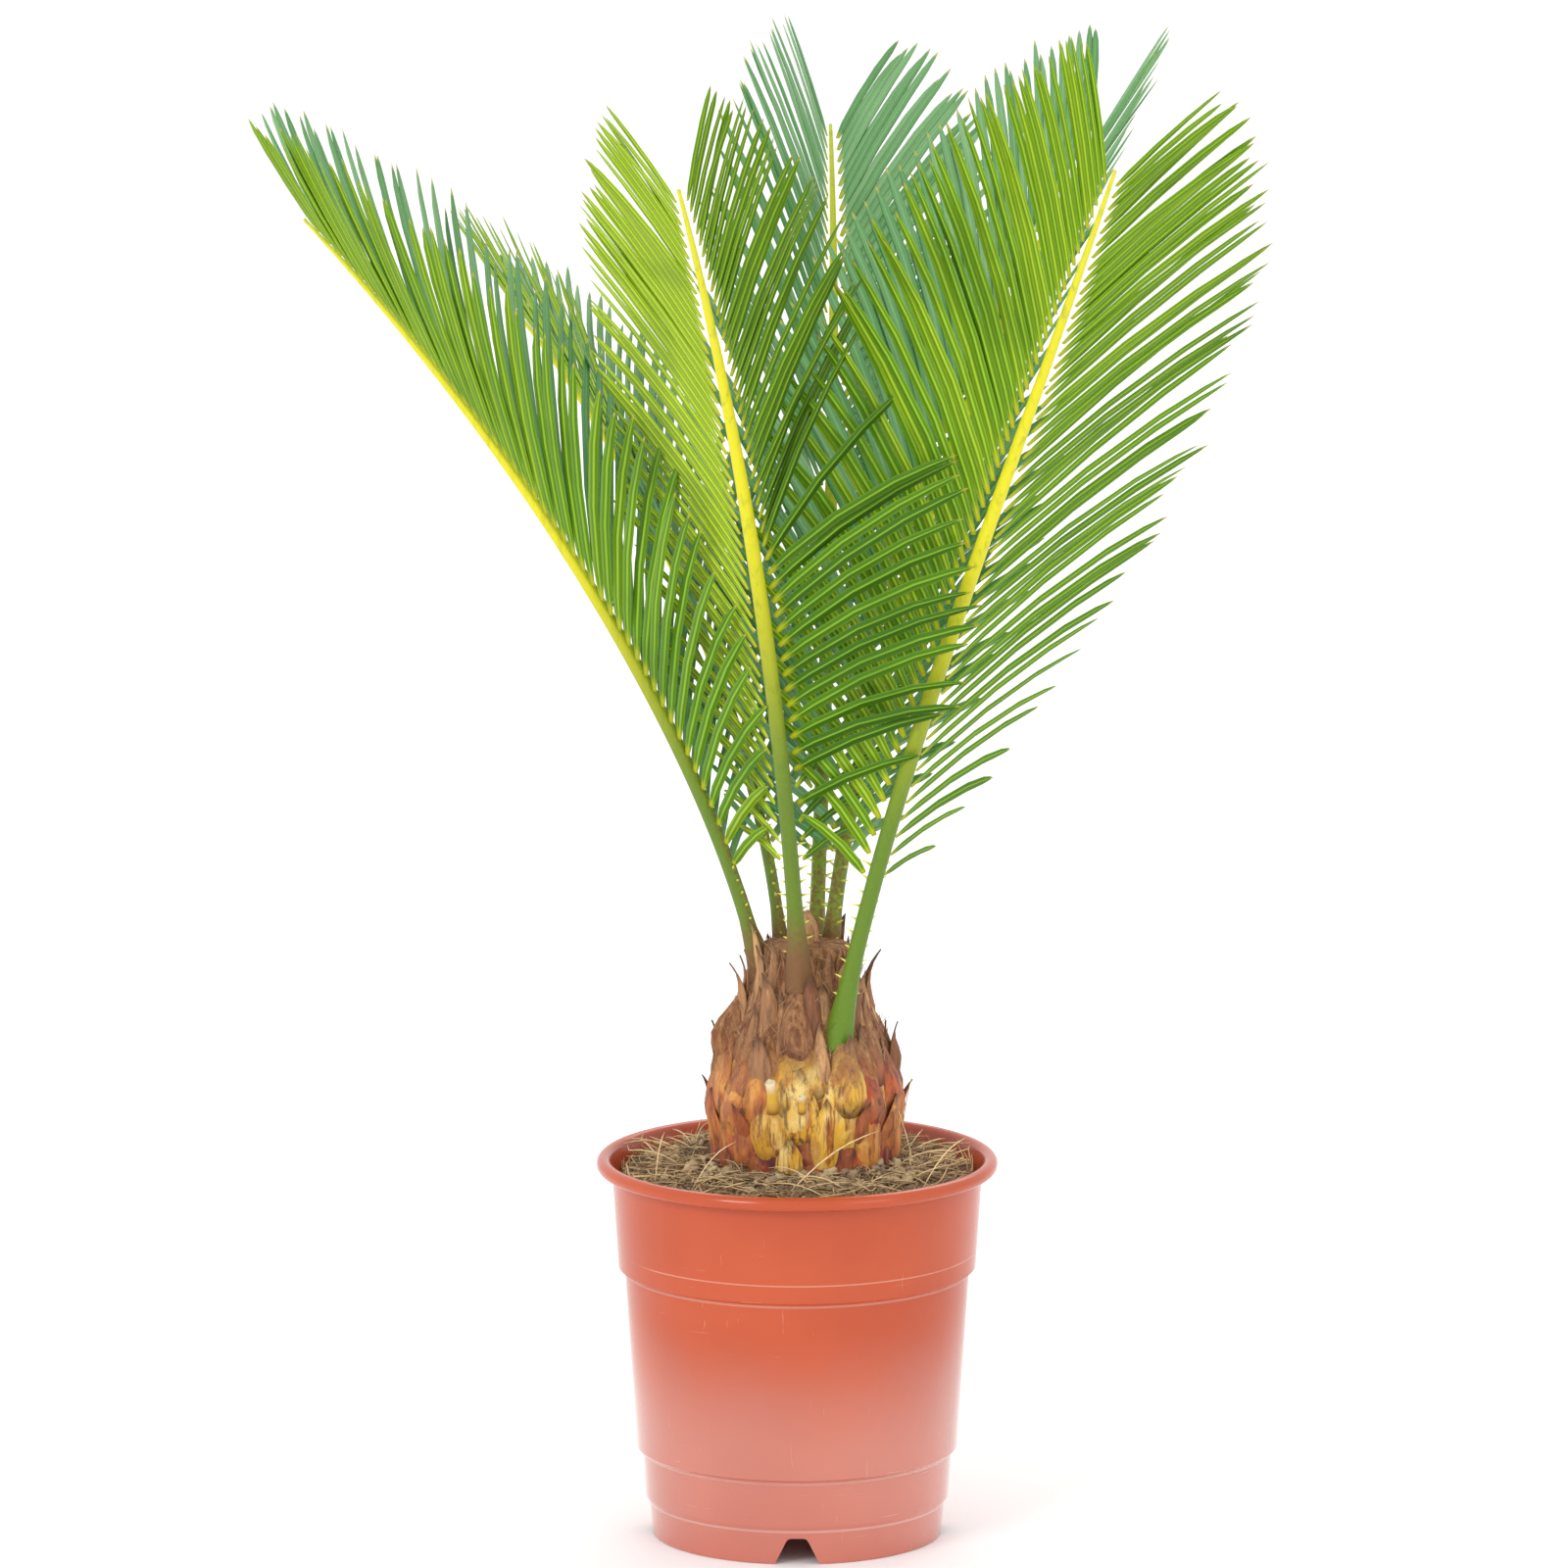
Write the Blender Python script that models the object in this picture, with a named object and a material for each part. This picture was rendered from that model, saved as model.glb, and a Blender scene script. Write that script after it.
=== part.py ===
"""A young sago palm in a nursery pot. Metres, +Z up, origin at the centre of the pot's base."""

import math

import bmesh
import bpy
from mathutils import Matrix, Vector
from mathutils.bvhtree import BVHTree

GAP = 0.0003  # left between pieces that touch
UP = Vector((0, 0, 1))

# Pot: thin moulded plastic, stepped outwards three times below a rolled rim
POT_HEIGHT = 0.163
POT_RIM_RADIUS = 0.085
POT_BASE_RADIUS = 0.0616
POT_WALL = 0.0018
POT_SIDES = 48
RIM_OVERHANG = 0.0066
RIM_DEPTH = 0.0062
STEPS = ((0.0140, 0.0015), (0.0355, 0.0023), (0.1135, 0.0026))  # height, growth in radius
STEP_RISE = 0.0024
FLOOR_RAISE = 0.0125  # hollow under the floor, inside the foot ring
FOOT_RING = 0.0032
PAD_RADIUS = 0.016  # centre of the floor, pressed down to the standing plane
PAD_SLOPE = 0.007
NOTCH_COUNT = 4
NOTCH_HEIGHT = 0.0115
NOTCH_WIDTH = 0.023
NOTCH_TOP_WIDTH = 0.008
DRAIN_COUNT = 8
DRAIN_RADIUS = 0.004
DRAIN_CIRCLE = 0.041

# Soil: below the rim at the wall, heaped against the trunk
SOIL_DROP = 0.0085
SOIL_HEAP = 0.010

# Caudex, the swollen trunk: widest just above the soil, narrowed to the crown
CAUDEX_CENTRE = Vector((0.0034, 0, 0))
CAUDEX_RADIUS = 0.044
CAUDEX_HEIGHT = 0.083
CAUDEX_DEPTH = 0.055
CROWN_RADIUS = 0.0235
CAUDEX_SIDES = 32
CAUDEX_SHOULDER = 0.22  # share of the height where it starts to narrow

# Old leaf bases and dry scale leaves: foot height as a share of the caudex, length, first angle
SCALE_RINGS = (
    {"count": 5, "foot": 0.08, "length": 0.022, "width": 0.013, "turn": 15, "flare": 0.0020},
    {"count": 6, "foot": 0.32, "length": 0.029, "width": 0.012, "turn": 60, "flare": 0.0050},
    {"count": 8, "foot": 0.58, "length": 0.035, "width": 0.011, "turn": 8, "flare": 0.0055},
)
SCALE_THICKNESS = 0.0016
STUBS = (
    {"angle": -108, "foot": 0.34, "radius": 0.0042, "length": 0.011},
    {"angle": -92, "foot": 0.33, "radius": 0.0026, "length": 0.006},
)
STUB_RISE = 1.2  # upward against outward
BUD_RADIUS = 0.0052
BUD_HEIGHT = 0.016

# Fronds
PETIOLE_RADIUS = 0.0033
MIDRIB_TIP_RADIUS = 0.0008
SOCKET_DEPTH = 0.011  # length of each leaf stalk held in the crown
STEM_RINGS = 18
LEAFLET_SPACING = 0.0074
LEAFLET_WIDTH = 0.0038
LEAFLET_THICKNESS = 0.0010
LEAFLET_WIDEST = 0.45  # share of the leaflet's length
LEAFLET_TILT = 12  # of the blade about its own length, in degrees
LEAFLET_STEPS = 8
RIDGE_WIDTH = 0.0011  # joined leaflet bases that run down the stalk
RIDGE_THICKNESS = 0.0016
CLEARANCE = 0.0008  # least distance that a leaflet keeps from the other fronds

# Angles are in degrees. start is the foot of the stalk, from the middle of the crown, and sway, lean
# and twist build up along the stalk.
# open, arc and fold are a leaflet's angle from the stalk, its curl and its lift, at the foot and the tip.
FRONDS = {
    "frond_right": {
        "start": (0.0149, -0.0260, -0.0222), "length": 0.441, "bare": 0.065, "girth": 1.05,
        "heading": -43, "sway": -25, "lean": (12, 37), "bend": 0.60, "roll": -16, "twist": -18,
        "leaflet": 0.134, "open": (65, 26), "skew": 13, "arc": (29, 10), "fold": (33, 30),
    },
    "frond_front": {
        "start": (-0.0028, -0.0220, 0.0018), "length": 0.405, "bare": 0.044, "girth": 1.0,
        "heading": -106, "sway": 1, "lean": (11, 40), "bend": 0.80, "roll": 4, "twist": 14,
        "leaflet": 0.107, "open": (74, 26), "skew": 0, "arc": (30, 12), "fold": (48, 43),
    },
    "frond_left": {
        "start": (-0.0187, -0.0020, -0.0049), "length": 0.378, "bare": 0.044, "girth": 1.0,
        "heading": 186, "sway": -10, "lean": (10, 43), "bend": 0.60, "roll": 5, "twist": -7,
        "leaflet": 0.126, "open": (61, 18), "skew": 0, "arc": (20, 9), "fold": (38, 37),
    },
    "frond_back": {
        "start": (0.0043, 0.0205, -0.0061), "length": 0.398, "bare": 0.044, "girth": 0.95,
        "heading": 83, "sway": 9, "lean": (17, 50), "bend": 1.00, "roll": 17, "twist": 2,
        "leaflet": 0.128, "open": (64, 23), "skew": 0, "arc": (22, 11), "fold": (36, 32),
    },
    "frond_back_right": {
        "start": (0.0097, 0.0080, -0.0040), "length": 0.386, "bare": 0.044, "girth": 0.95,
        "heading": 46, "sway": 2, "lean": (7, 43), "bend": 0.82, "roll": 9, "twist": -10,
        "leaflet": 0.124, "open": (60, 18), "skew": 0, "arc": (20, 7), "fold": (34, 31),
    },
    "frond_back_left": {
        "start": (-0.0094, 0.0120, -0.0010), "length": 0.330, "bare": 0.044, "girth": 0.82,
        "heading": 137, "sway": -13, "lean": (7, 63), "bend": 0.93, "roll": 32, "twist": 7,
        "leaflet": 0.120, "open": (59, 17), "skew": 0, "arc": (20, 8), "fold": (28, 20),
    },
}

for old in list(bpy.data.objects):
    bpy.data.objects.remove(old, do_unlink=True)


def material(name, colour, roughness):
    made = bpy.data.materials.new(name)
    made.use_nodes = True
    shader = made.node_tree.nodes["Principled BSDF"]
    shader.inputs["Base Color"].default_value = (*colour, 1)
    shader.inputs["Roughness"].default_value = roughness
    shader.inputs["Metallic"].default_value = 0
    return made


TERRACOTTA = material("terracotta_plastic", (0.55, 0.11, 0.045), 0.28)
COIR = material("coir_soil", (0.13, 0.075, 0.04), 0.95)
BARK = material("caudex_bark", (0.30, 0.13, 0.05), 0.80)
DRY_SCALE = material("dry_scale", (0.26, 0.12, 0.055), 0.80)
CUT_STUB = material("cut_leaf_base", (0.75, 0.55, 0.20), 0.70)
STALK = material("leaf_stalk", (0.35, 0.50, 0.03), 0.45)
LEAFLET = material("leaflet_green", (0.09, 0.30, 0.03), 0.35)


def add_object(name, data, finish):
    data.materials.append(finish)
    made = bpy.data.objects.new(name, data)
    bpy.context.scene.collection.objects.link(made)
    return made


def finish_mesh(name, bm, finish, smooth_angle=40):
    mesh = bpy.data.meshes.new(name)
    bm.normal_update()
    bm.to_mesh(mesh)
    bm.free()
    mesh.shade_smooth()
    mesh.set_sharp_from_angle(angle=math.radians(smooth_angle))
    return add_object(name, mesh, finish)


def turned(profile, sides, centre=Vector((0, 0, 0))):
    """A closed bmesh turned about the vertical axis through centre, from (radius, height) points."""
    bm = bmesh.new()
    verts = [bm.verts.new(centre + Vector((radius, 0, height))) for radius, height in profile]
    edges = [bm.edges.new(pair) for pair in zip(verts, verts[1:])]
    bmesh.ops.spin(
        bm, geom=verts + edges, cent=centre, axis=UP, angle=math.tau, steps=sides, use_merge=True,
    )
    bmesh.ops.remove_doubles(bm, verts=bm.verts, dist=1e-6)
    bmesh.ops.recalc_face_normals(bm, faces=bm.faces)
    return bm


def cut(target, cutter):
    """Takes cutter out of target, and keeps it as a hidden guide."""
    cutter.hide_render = True
    cutter.display_type = "WIRE"
    boolean = target.modifiers.new("cut_" + cutter.name, "BOOLEAN")
    boolean.operation = "DIFFERENCE"
    boolean.object = cutter


STEPPED_OUT = sum(growth for _, growth in STEPS)
TAPER = (POT_RIM_RADIUS - RIM_OVERHANG - POT_BASE_RADIUS - STEPPED_OUT) / (POT_HEIGHT - RIM_DEPTH)


def wall_radius(height):
    """The pot's outer radius, steps included, below the rim."""
    passed = sum(growth * min(1, max(0, (height - start) / STEP_RISE)) for start, growth in STEPS)
    return POT_BASE_RADIUS + TAPER * height + passed


def inside_profile(clearance, top):
    """(radius, height) points along the pot's inside from the floor's centre up to top."""
    floor = FLOOR_RAISE + POT_WALL + clearance
    slope_out = PAD_RADIUS + PAD_SLOPE - POT_WALL - clearance
    points = [(0, POT_WALL + clearance), (PAD_RADIUS - POT_WALL - clearance, POT_WALL + clearance)]
    points.append((slope_out, floor))
    points.append((wall_radius(floor) - POT_WALL - clearance, floor))
    for start, _ in STEPS:
        for height in (start, start + STEP_RISE):
            if floor < height < top:
                points.append((wall_radius(height) - POT_WALL - clearance, height))
    points.append((wall_radius(top) - POT_WALL - clearance, top))
    return points


def make_pot():
    lip = POT_HEIGHT - RIM_DEPTH
    wall_top = wall_radius(lip)
    ring_inside = POT_BASE_RADIUS - FOOT_RING
    profile = [(0, 0), (PAD_RADIUS, 0), (PAD_RADIUS + PAD_SLOPE, FLOOR_RAISE)]
    profile += [(ring_inside, FLOOR_RAISE), (ring_inside, 0), (POT_BASE_RADIUS, 0)]
    for start, _ in STEPS:
        profile += [(wall_radius(start), start), (wall_radius(start + STEP_RISE), start + STEP_RISE)]
    profile.append((wall_top, lip))
    bead = RIM_DEPTH / 2
    for turn in range(-70, 141, 30):  # the rolled rim, from its underside round to its inner edge
        across, rise = math.cos(math.radians(turn)), math.sin(math.radians(turn))
        profile.append((POT_RIM_RADIUS - bead + bead * across, POT_HEIGHT - bead + bead * rise))
    profile += reversed(inside_profile(0, lip))
    pot = finish_mesh("pot", turned(profile, POT_SIDES), TERRACOTTA, 30)

    notches = bmesh.new()
    for number in range(NOTCH_COUNT):
        turn = Matrix.Rotation(math.tau * number / NOTCH_COUNT - math.pi / 2, 3, "Z")
        near, far = POT_BASE_RADIUS - 3 * FOOT_RING, POT_BASE_RADIUS + FOOT_RING
        slant = (NOTCH_WIDTH - NOTCH_TOP_WIDTH) / 2 / NOTCH_HEIGHT
        foot = NOTCH_WIDTH / 2 + slant * FOOT_RING
        top = NOTCH_TOP_WIDTH / 2
        outline = ((-foot, -FOOT_RING), (foot, -FOOT_RING), (top, NOTCH_HEIGHT), (-top, NOTCH_HEIGHT))
        face = notches.faces.new([notches.verts.new(turn @ Vector((near, y, z))) for y, z in outline])
        grown = bmesh.ops.extrude_face_region(notches, geom=[face])["geom"]
        moved = [item for item in grown if isinstance(item, bmesh.types.BMVert)]
        bmesh.ops.translate(notches, verts=moved, vec=turn @ Vector((far - near, 0, 0)))
    for number in range(DRAIN_COUNT):
        angle = math.tau * (number + 0.5) / DRAIN_COUNT
        place = DRAIN_CIRCLE * Vector((math.cos(angle), math.sin(angle), 0))
        place.z = FLOOR_RAISE + POT_WALL / 2
        bmesh.ops.create_cone(
            notches, cap_ends=True, segments=12, radius1=DRAIN_RADIUS, radius2=DRAIN_RADIUS,
            depth=3 * POT_WALL, matrix=Matrix.Translation(place),
        )
    bmesh.ops.recalc_face_normals(notches, faces=notches.faces)
    cut(pot, finish_mesh("pot_cutter", notches, TERRACOTTA))


SOIL_EDGE = POT_HEIGHT - SOIL_DROP
SOIL_LINE = SOIL_EDGE + SOIL_HEAP  # where the soil meets the caudex


def caudex_radius(share):
    """Radius at a share of the height above the soil line; negative shares are underground."""
    if share < 0:
        buried = min(1, -share * CAUDEX_HEIGHT / CAUDEX_DEPTH)
        return 0.985 * CAUDEX_RADIUS * math.sqrt(max(0.02, 1 - buried ** 2.4))
    taper = max(0, (share - CAUDEX_SHOULDER) / (1 - CAUDEX_SHOULDER))
    return CROWN_RADIUS + (CAUDEX_RADIUS - CROWN_RADIUS) * (1 + math.cos(math.pi * min(1, taper))) / 2


def caudex_profile(clearance):
    shares = [-CAUDEX_DEPTH / CAUDEX_HEIGHT * step / 6 for step in range(6, 0, -1)]
    shares += [step / 9 for step in range(10)]
    points = [(0, SOIL_LINE - CAUDEX_DEPTH - clearance)]
    points += [(caudex_radius(share) + clearance, SOIL_LINE + share * CAUDEX_HEIGHT) for share in shares]
    points[1] = (points[1][0], points[0][1])
    points.append((0.55 * CROWN_RADIUS, SOIL_LINE + CAUDEX_HEIGHT + 0.004))
    points.append((0, SOIL_LINE + CAUDEX_HEIGHT + 0.005))
    return points


def make_soil():
    profile = inside_profile(GAP, SOIL_EDGE)
    rim = profile[-1][0]
    for step in range(1, 6):
        share = step / 5
        radius = rim + (0.8 * CAUDEX_RADIUS - rim) * share
        profile.append((radius, SOIL_EDGE + SOIL_HEAP * math.sin(math.pi / 2 * share) ** 1.4))
    profile.append((0, SOIL_LINE))
    soil = finish_mesh("soil", turned(profile, POT_SIDES), COIR)
    hollow = turned(caudex_profile(GAP), CAUDEX_SIDES, CAUDEX_CENTRE)
    cut(soil, finish_mesh("soil_cutter", hollow, COIR))


def mix(ends, share):
    return ends[0] + (ends[1] - ends[0]) * share


def midrib_axes(frond, share):
    """Unit vectors along the midrib, out of its upper side and to its right, at a share of its length."""
    lean = math.radians(mix(frond["lean"], share ** frond["bend"]))
    heading = math.radians(frond["heading"] + frond["sway"] * share)
    outward = Vector((math.cos(heading), math.sin(heading), 0))
    along = outward * math.sin(lean) + UP * math.cos(lean)
    upper = UP * math.sin(lean) - outward * math.cos(lean)
    roll = Matrix.Rotation(math.radians(frond["roll"] + frond["twist"] * share), 3, along)
    return along, roll @ upper, roll @ along.cross(upper)


def midrib_points(frond, steps=240):
    point = CAUDEX_CENTRE + UP * (SOIL_LINE + CAUDEX_HEIGHT) + Vector(frond["start"])
    points = [point.copy()]
    for step in range(1, steps + 1):
        point += midrib_axes(frond, step / steps)[0] * frond["length"] / steps
        points.append(point.copy())
    return points


def midrib_point(frond, share):
    """A point on the midrib; negative shares run straight down into the crown."""
    points = frond["points"]
    if share < 0:
        return points[0] + midrib_axes(frond, 0)[0] * share * frond["length"]
    place = min(share, 1) * (len(points) - 1)
    first = min(int(place), len(points) - 2)
    return points[first].lerp(points[first + 1], place - first)


def stalk_radius(frond, share):
    """Slightly thicker foot, even stalk, then a taper to the tip."""
    foot = 1 + 0.35 * max(0, 1 - max(share, 0) / 0.06)
    taper = max(0, (share - 0.35) / 0.65) ** 1.5
    full = PETIOLE_RADIUS * frond["girth"]
    return full * foot + (MIDRIB_TIP_RADIUS - full) * taper


def stalk_curve(name, frond, shares, clearance, finish):
    """A six-sided tapered tube along the midrib, as a bevelled curve with filled ends."""
    curve = bpy.data.curves.new(name, "CURVE")
    curve.dimensions = "3D"
    curve.bevel_depth = 1
    curve.bevel_resolution = 1
    curve.use_fill_caps = True
    spline = curve.splines.new("POLY")
    spline.points.add(len(shares) - 1)
    for point, share in zip(spline.points, shares):
        point.co = (*midrib_point(frond, share), 1)
        point.radius = stalk_radius(frond, share) + clearance
    return add_object(name, curve, finish)


def mesh_of(tube):
    """The same tube as a closed mesh, which a Boolean can take."""
    bpy.context.view_layer.update()
    mesh = bpy.data.meshes.new_from_object(tube.evaluated_get(bpy.context.evaluated_depsgraph_get()))
    bpy.data.objects.remove(tube, do_unlink=True)
    bm = bmesh.new()
    bm.from_mesh(mesh)
    bmesh.ops.remove_doubles(bm, verts=bm.verts, dist=1e-6)
    bmesh.ops.recalc_face_normals(bm, faces=bm.faces)
    return finish_mesh("cutter_" + mesh.name, bm, BARK)


def make_stalks():
    crown = finish_mesh("caudex", turned(caudex_profile(0), CAUDEX_SIDES, CAUDEX_CENTRE), BARK)
    for name, frond in FRONDS.items():
        frond["points"] = midrib_points(frond)
        held = SOCKET_DEPTH / frond["length"]
        rings = [-held, 0] + [(ring / STEM_RINGS) ** 0.95 for ring in range(1, STEM_RINGS + 1)]
        stalk_curve(name + "_stem", frond, rings, 0, STALK)
        socket = [-held - GAP / frond["length"], 0, rings[2]]
        cut(crown, mesh_of(stalk_curve(name + "_socket", frond, socket, 2 * GAP, BARK)))


def leaflet_length(share):
    """Leaflet length, as a share of the longest, at a share of the leafy part of the midrib."""
    rise = 0.22 + 0.78 * math.sin(math.pi / 2 * min(1, share / 0.28)) ** 0.9
    fall = 1 - 0.57 * max(0, (share - 0.40) / 0.60) ** 2.2
    return rise * fall


class Leaflet:
    """One leaflet: its root on the ridge, its widest section and its tip."""

    def __init__(self, frond, side, share, spacing, turn, shrink):
        bare = frond["bare"] / frond["length"]
        place = bare + (1 - bare) * share
        along, upper, right = midrib_axes(frond, place)
        outward = right * side
        beside = outward * (stalk_radius(frond, place) + GAP + RIDGE_WIDTH) + upper * RIDGE_THICKNESS
        root = midrib_point(frond, place) + beside
        skewed = -side * frond["skew"] * (1 - share ** 0.55)
        opened = math.radians(mix(frond["open"], share ** 0.55) + skewed + turn[1])
        fold = math.radians(mix(frond["fold"], share) + turn[0])
        arc = math.radians(mix(frond["arc"], share))
        sideways = outward * math.cos(fold) + upper * math.sin(fold)
        self.length = frond["leaflet"] * leaflet_length(share) * shrink
        self.points = [root]
        self.headings = []
        for step in range(LEAFLET_STEPS):
            angle = opened + arc * ((step + 0.5) / LEAFLET_STEPS) ** 1.5
            heading = along * math.cos(angle) + sideways * math.sin(angle)
            self.headings.append(heading)
            self.points.append(self.points[-1] + heading * self.length / LEAFLET_STEPS)
        self.along = along
        self.above = upper * math.cos(fold) - outward * math.sin(fold)
        self.width = min(LEAFLET_WIDTH, 0.8 * spacing * math.sin(opened + 0.3 * arc))

    def section(self, reach, clearance=0):
        """Three corners across the blade: towards the frond's tip, towards its foot, and the upper keel."""
        place = reach * LEAFLET_STEPS
        step = int(place)
        centre = self.points[step].lerp(self.points[step + 1], place - step)
        heading = self.headings[step]
        across = (self.along - heading * self.along.dot(heading)).normalized()
        across = Matrix.Rotation(math.radians(LEAFLET_TILT), 3, heading) @ across
        above = heading.cross(across)
        if above.dot(self.above) < 0:
            above = -above
        half = self.width / 2 + clearance
        lower = centre - above * clearance
        keel = centre + above * (LEAFLET_THICKNESS + clearance)
        return lower + across * half, lower - across * half, keel

    def free_part(self):
        """Corners and faces of the blade past its foot, where neighbours may not cross it."""
        corners = [*self.section(0.12), *self.section(LEAFLET_WIDEST), self.points[-1]]
        faces = [(0, 1, 2)]
        for first, second in ((0, 1), (1, 2), (2, 0)):
            faces += [(first, second, second + 3, first + 3), (first + 3, second + 3, 6)]
        return corners, faces

    def grown_by(self, clearance, first, second):
        """Corners and faces of the whole blade between two ridge rings, grown by clearance."""
        above = self.above * clearance
        corners = [first[1] + above, first[2] - above, second[2] - above, second[1] + above]
        corners += self.section(LEAFLET_WIDEST, clearance)
        corners.append(self.points[-1] + self.headings[-1] * clearance)
        sides = [(0, 1, 5, 6), (3, 2, 4, 6), (0, 3, 6), (1, 2, 4, 5)]
        return corners, sides + [(4, 5, 7), (5, 6, 7), (6, 4, 7)]


TURNS = [(fold, opened) for fold in range(-72, 73, 6) for opened in range(-36, 37, 6)]
SHRINKS = (1, 0.88, 0.76, 0.64, 0.52, 0.40, 0.28, 0.18)


def clear_leaflet(frond, side, share, spacing, rings, trees, last_turn):
    """The leaflet nearest to its natural place that is clear of everything grown so far."""
    def strain(turn):
        beside = abs(turn[0] - last_turn[0]) + abs(turn[1] - last_turn[1])
        return abs(turn[0]) + 1.5 * abs(turn[1]) + beside / 3, turn

    for shrink in SHRINKS:
        for turn in sorted(TURNS, key=strain):
            leaflet = Leaflet(frond, side, share, spacing, turn, shrink)
            whole = BVHTree.FromPolygons(*leaflet.grown_by(CLEARANCE, *rings))
            free = BVHTree.FromPolygons(*leaflet.free_part())
            if not trees[0].overlap(whole) and not trees[1].overlap(free):
                return leaflet, turn
    return leaflet, (0, 0)


def ridge_stations(frond):
    """Where the leaflets of one side start and end, as shares of the leafy part of the midrib."""
    count = round((frond["length"] - frond["bare"]) / LEAFLET_SPACING)
    return [0.985 * (number / count) ** 0.92 for number in range(count + 1)]


def ridge_ring(frond, side, station):
    """Three corners of the ridge that the leaflets grow from: inner, upper outer and lower outer."""
    bare = frond["bare"] / frond["length"]
    share = bare + (1 - bare) * station
    _, upper, right = midrib_axes(frond, share)
    outward = right * side
    beside = outward * (stalk_radius(frond, share) + GAP) + upper * RIDGE_THICKNESS
    foot = midrib_point(frond, share) + beside
    half = upper * RIDGE_THICKNESS / 2
    return foot, foot + outward * RIDGE_WIDTH + half, foot + outward * RIDGE_WIDTH - half


def make_row(name, frond, side, obstacles):
    """All leaflets of one side, grown out of one thin ridge beside the stalk; gives back its mesh."""
    stations = ridge_stations(frond)
    bm = bmesh.new()
    corners = [ridge_ring(frond, side, station) for station in stations]
    rings = [[bm.verts.new(corner) for corner in ring] for ring in corners]
    last_turn = (0, 0)
    grown = []
    for number, ((foot0, top0, low0), (foot1, top1, low1)) in enumerate(zip(rings, rings[1:])):
        share = (stations[number] + stations[number + 1]) / 2
        spacing = (stations[number + 1] - stations[number]) * (frond["length"] - frond["bare"])
        trees = obstacles, tree_of([earlier.free_part() for earlier in grown[-4:]])
        ends = corners[number], corners[number + 1]
        leaflet, last_turn = clear_leaflet(frond, side, share, spacing, ends, trees, last_turn)
        grown.append(leaflet)
        front, back, keel = (bm.verts.new(corner) for corner in leaflet.section(LEAFLET_WIDEST))
        tip = bm.verts.new(leaflet.points[-1])
        for outline in (
            (foot0, foot1, top1, top0), (foot0, low0, low1, foot1),
            (top1, keel, front, low1), (top0, low0, back, keel), (top0, keel, top1),
            (low0, low1, front, back),
            (keel, tip, front), (front, tip, back), (back, tip, keel),
        ):
            bm.faces.new(outline)
    bm.faces.new(rings[0])
    bm.faces.new(reversed(rings[-1]))
    bmesh.ops.triangulate(bm, faces=bm.faces)
    bmesh.ops.recalc_face_normals(bm, faces=bm.faces)
    row = finish_mesh(name, bm, LEAFLET)
    return mesh_parts(row.data)


def mesh_parts(mesh):
    return [vert.co.copy() for vert in mesh.vertices], [tuple(face.vertices) for face in mesh.polygons]


def tree_of(shapes):
    """One search tree over several (corners, faces) shapes."""
    points, faces = [], []
    for corners, polygons in shapes:
        faces += [tuple(len(points) + corner for corner in polygon) for polygon in polygons]
        points += corners
    return BVHTree.FromPolygons(points, faces)


def ridge_shape(frond, side):
    rings = [ridge_ring(frond, side, station) for station in ridge_stations(frond)]
    faces = []
    for first in range(0, 3 * len(rings) - 3, 3):
        faces += [(first, first + 1, first + 4, first + 3), (first, first + 2, first + 5, first + 3)]
        faces.append((first + 1, first + 2, first + 5, first + 4))
    return [corner for ring in rings for corner in ring], faces


def make_rows():
    """Grows each row in turn, clear of every stalk, every other ridge and the rows that came before."""
    bpy.context.view_layer.update()
    depsgraph = bpy.context.evaluated_depsgraph_get()
    shapes = {}
    for name, frond in FRONDS.items():
        stalk = bpy.data.objects[name + "_stem"].evaluated_get(depsgraph)
        shapes[name + "_stem"] = mesh_parts(stalk.to_mesh())
        stalk.to_mesh_clear()
        for side, word in ((-1, "left"), (1, "right")):
            shapes[f"{name}_leaflets_{word}"] = ridge_shape(frond, side)
    for name, frond in FRONDS.items():
        for side, word in ((-1, "left"), (1, "right")):
            row = f"{name}_leaflets_{word}"
            obstacles = tree_of([shape for other, shape in shapes.items() if other != row])
            shapes[row] = make_row(row, frond, side, obstacles)


def on_caudex(angle, share, stand_off):
    """A point that stands off the caudex at an angle and a share of its height, and the way outward."""
    outward = Vector((math.cos(angle), math.sin(angle), 0))
    place = CAUDEX_CENTRE + outward * (caudex_radius(share) + stand_off)
    place.z = SOIL_LINE + share * CAUDEX_HEIGHT
    return place, outward


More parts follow.
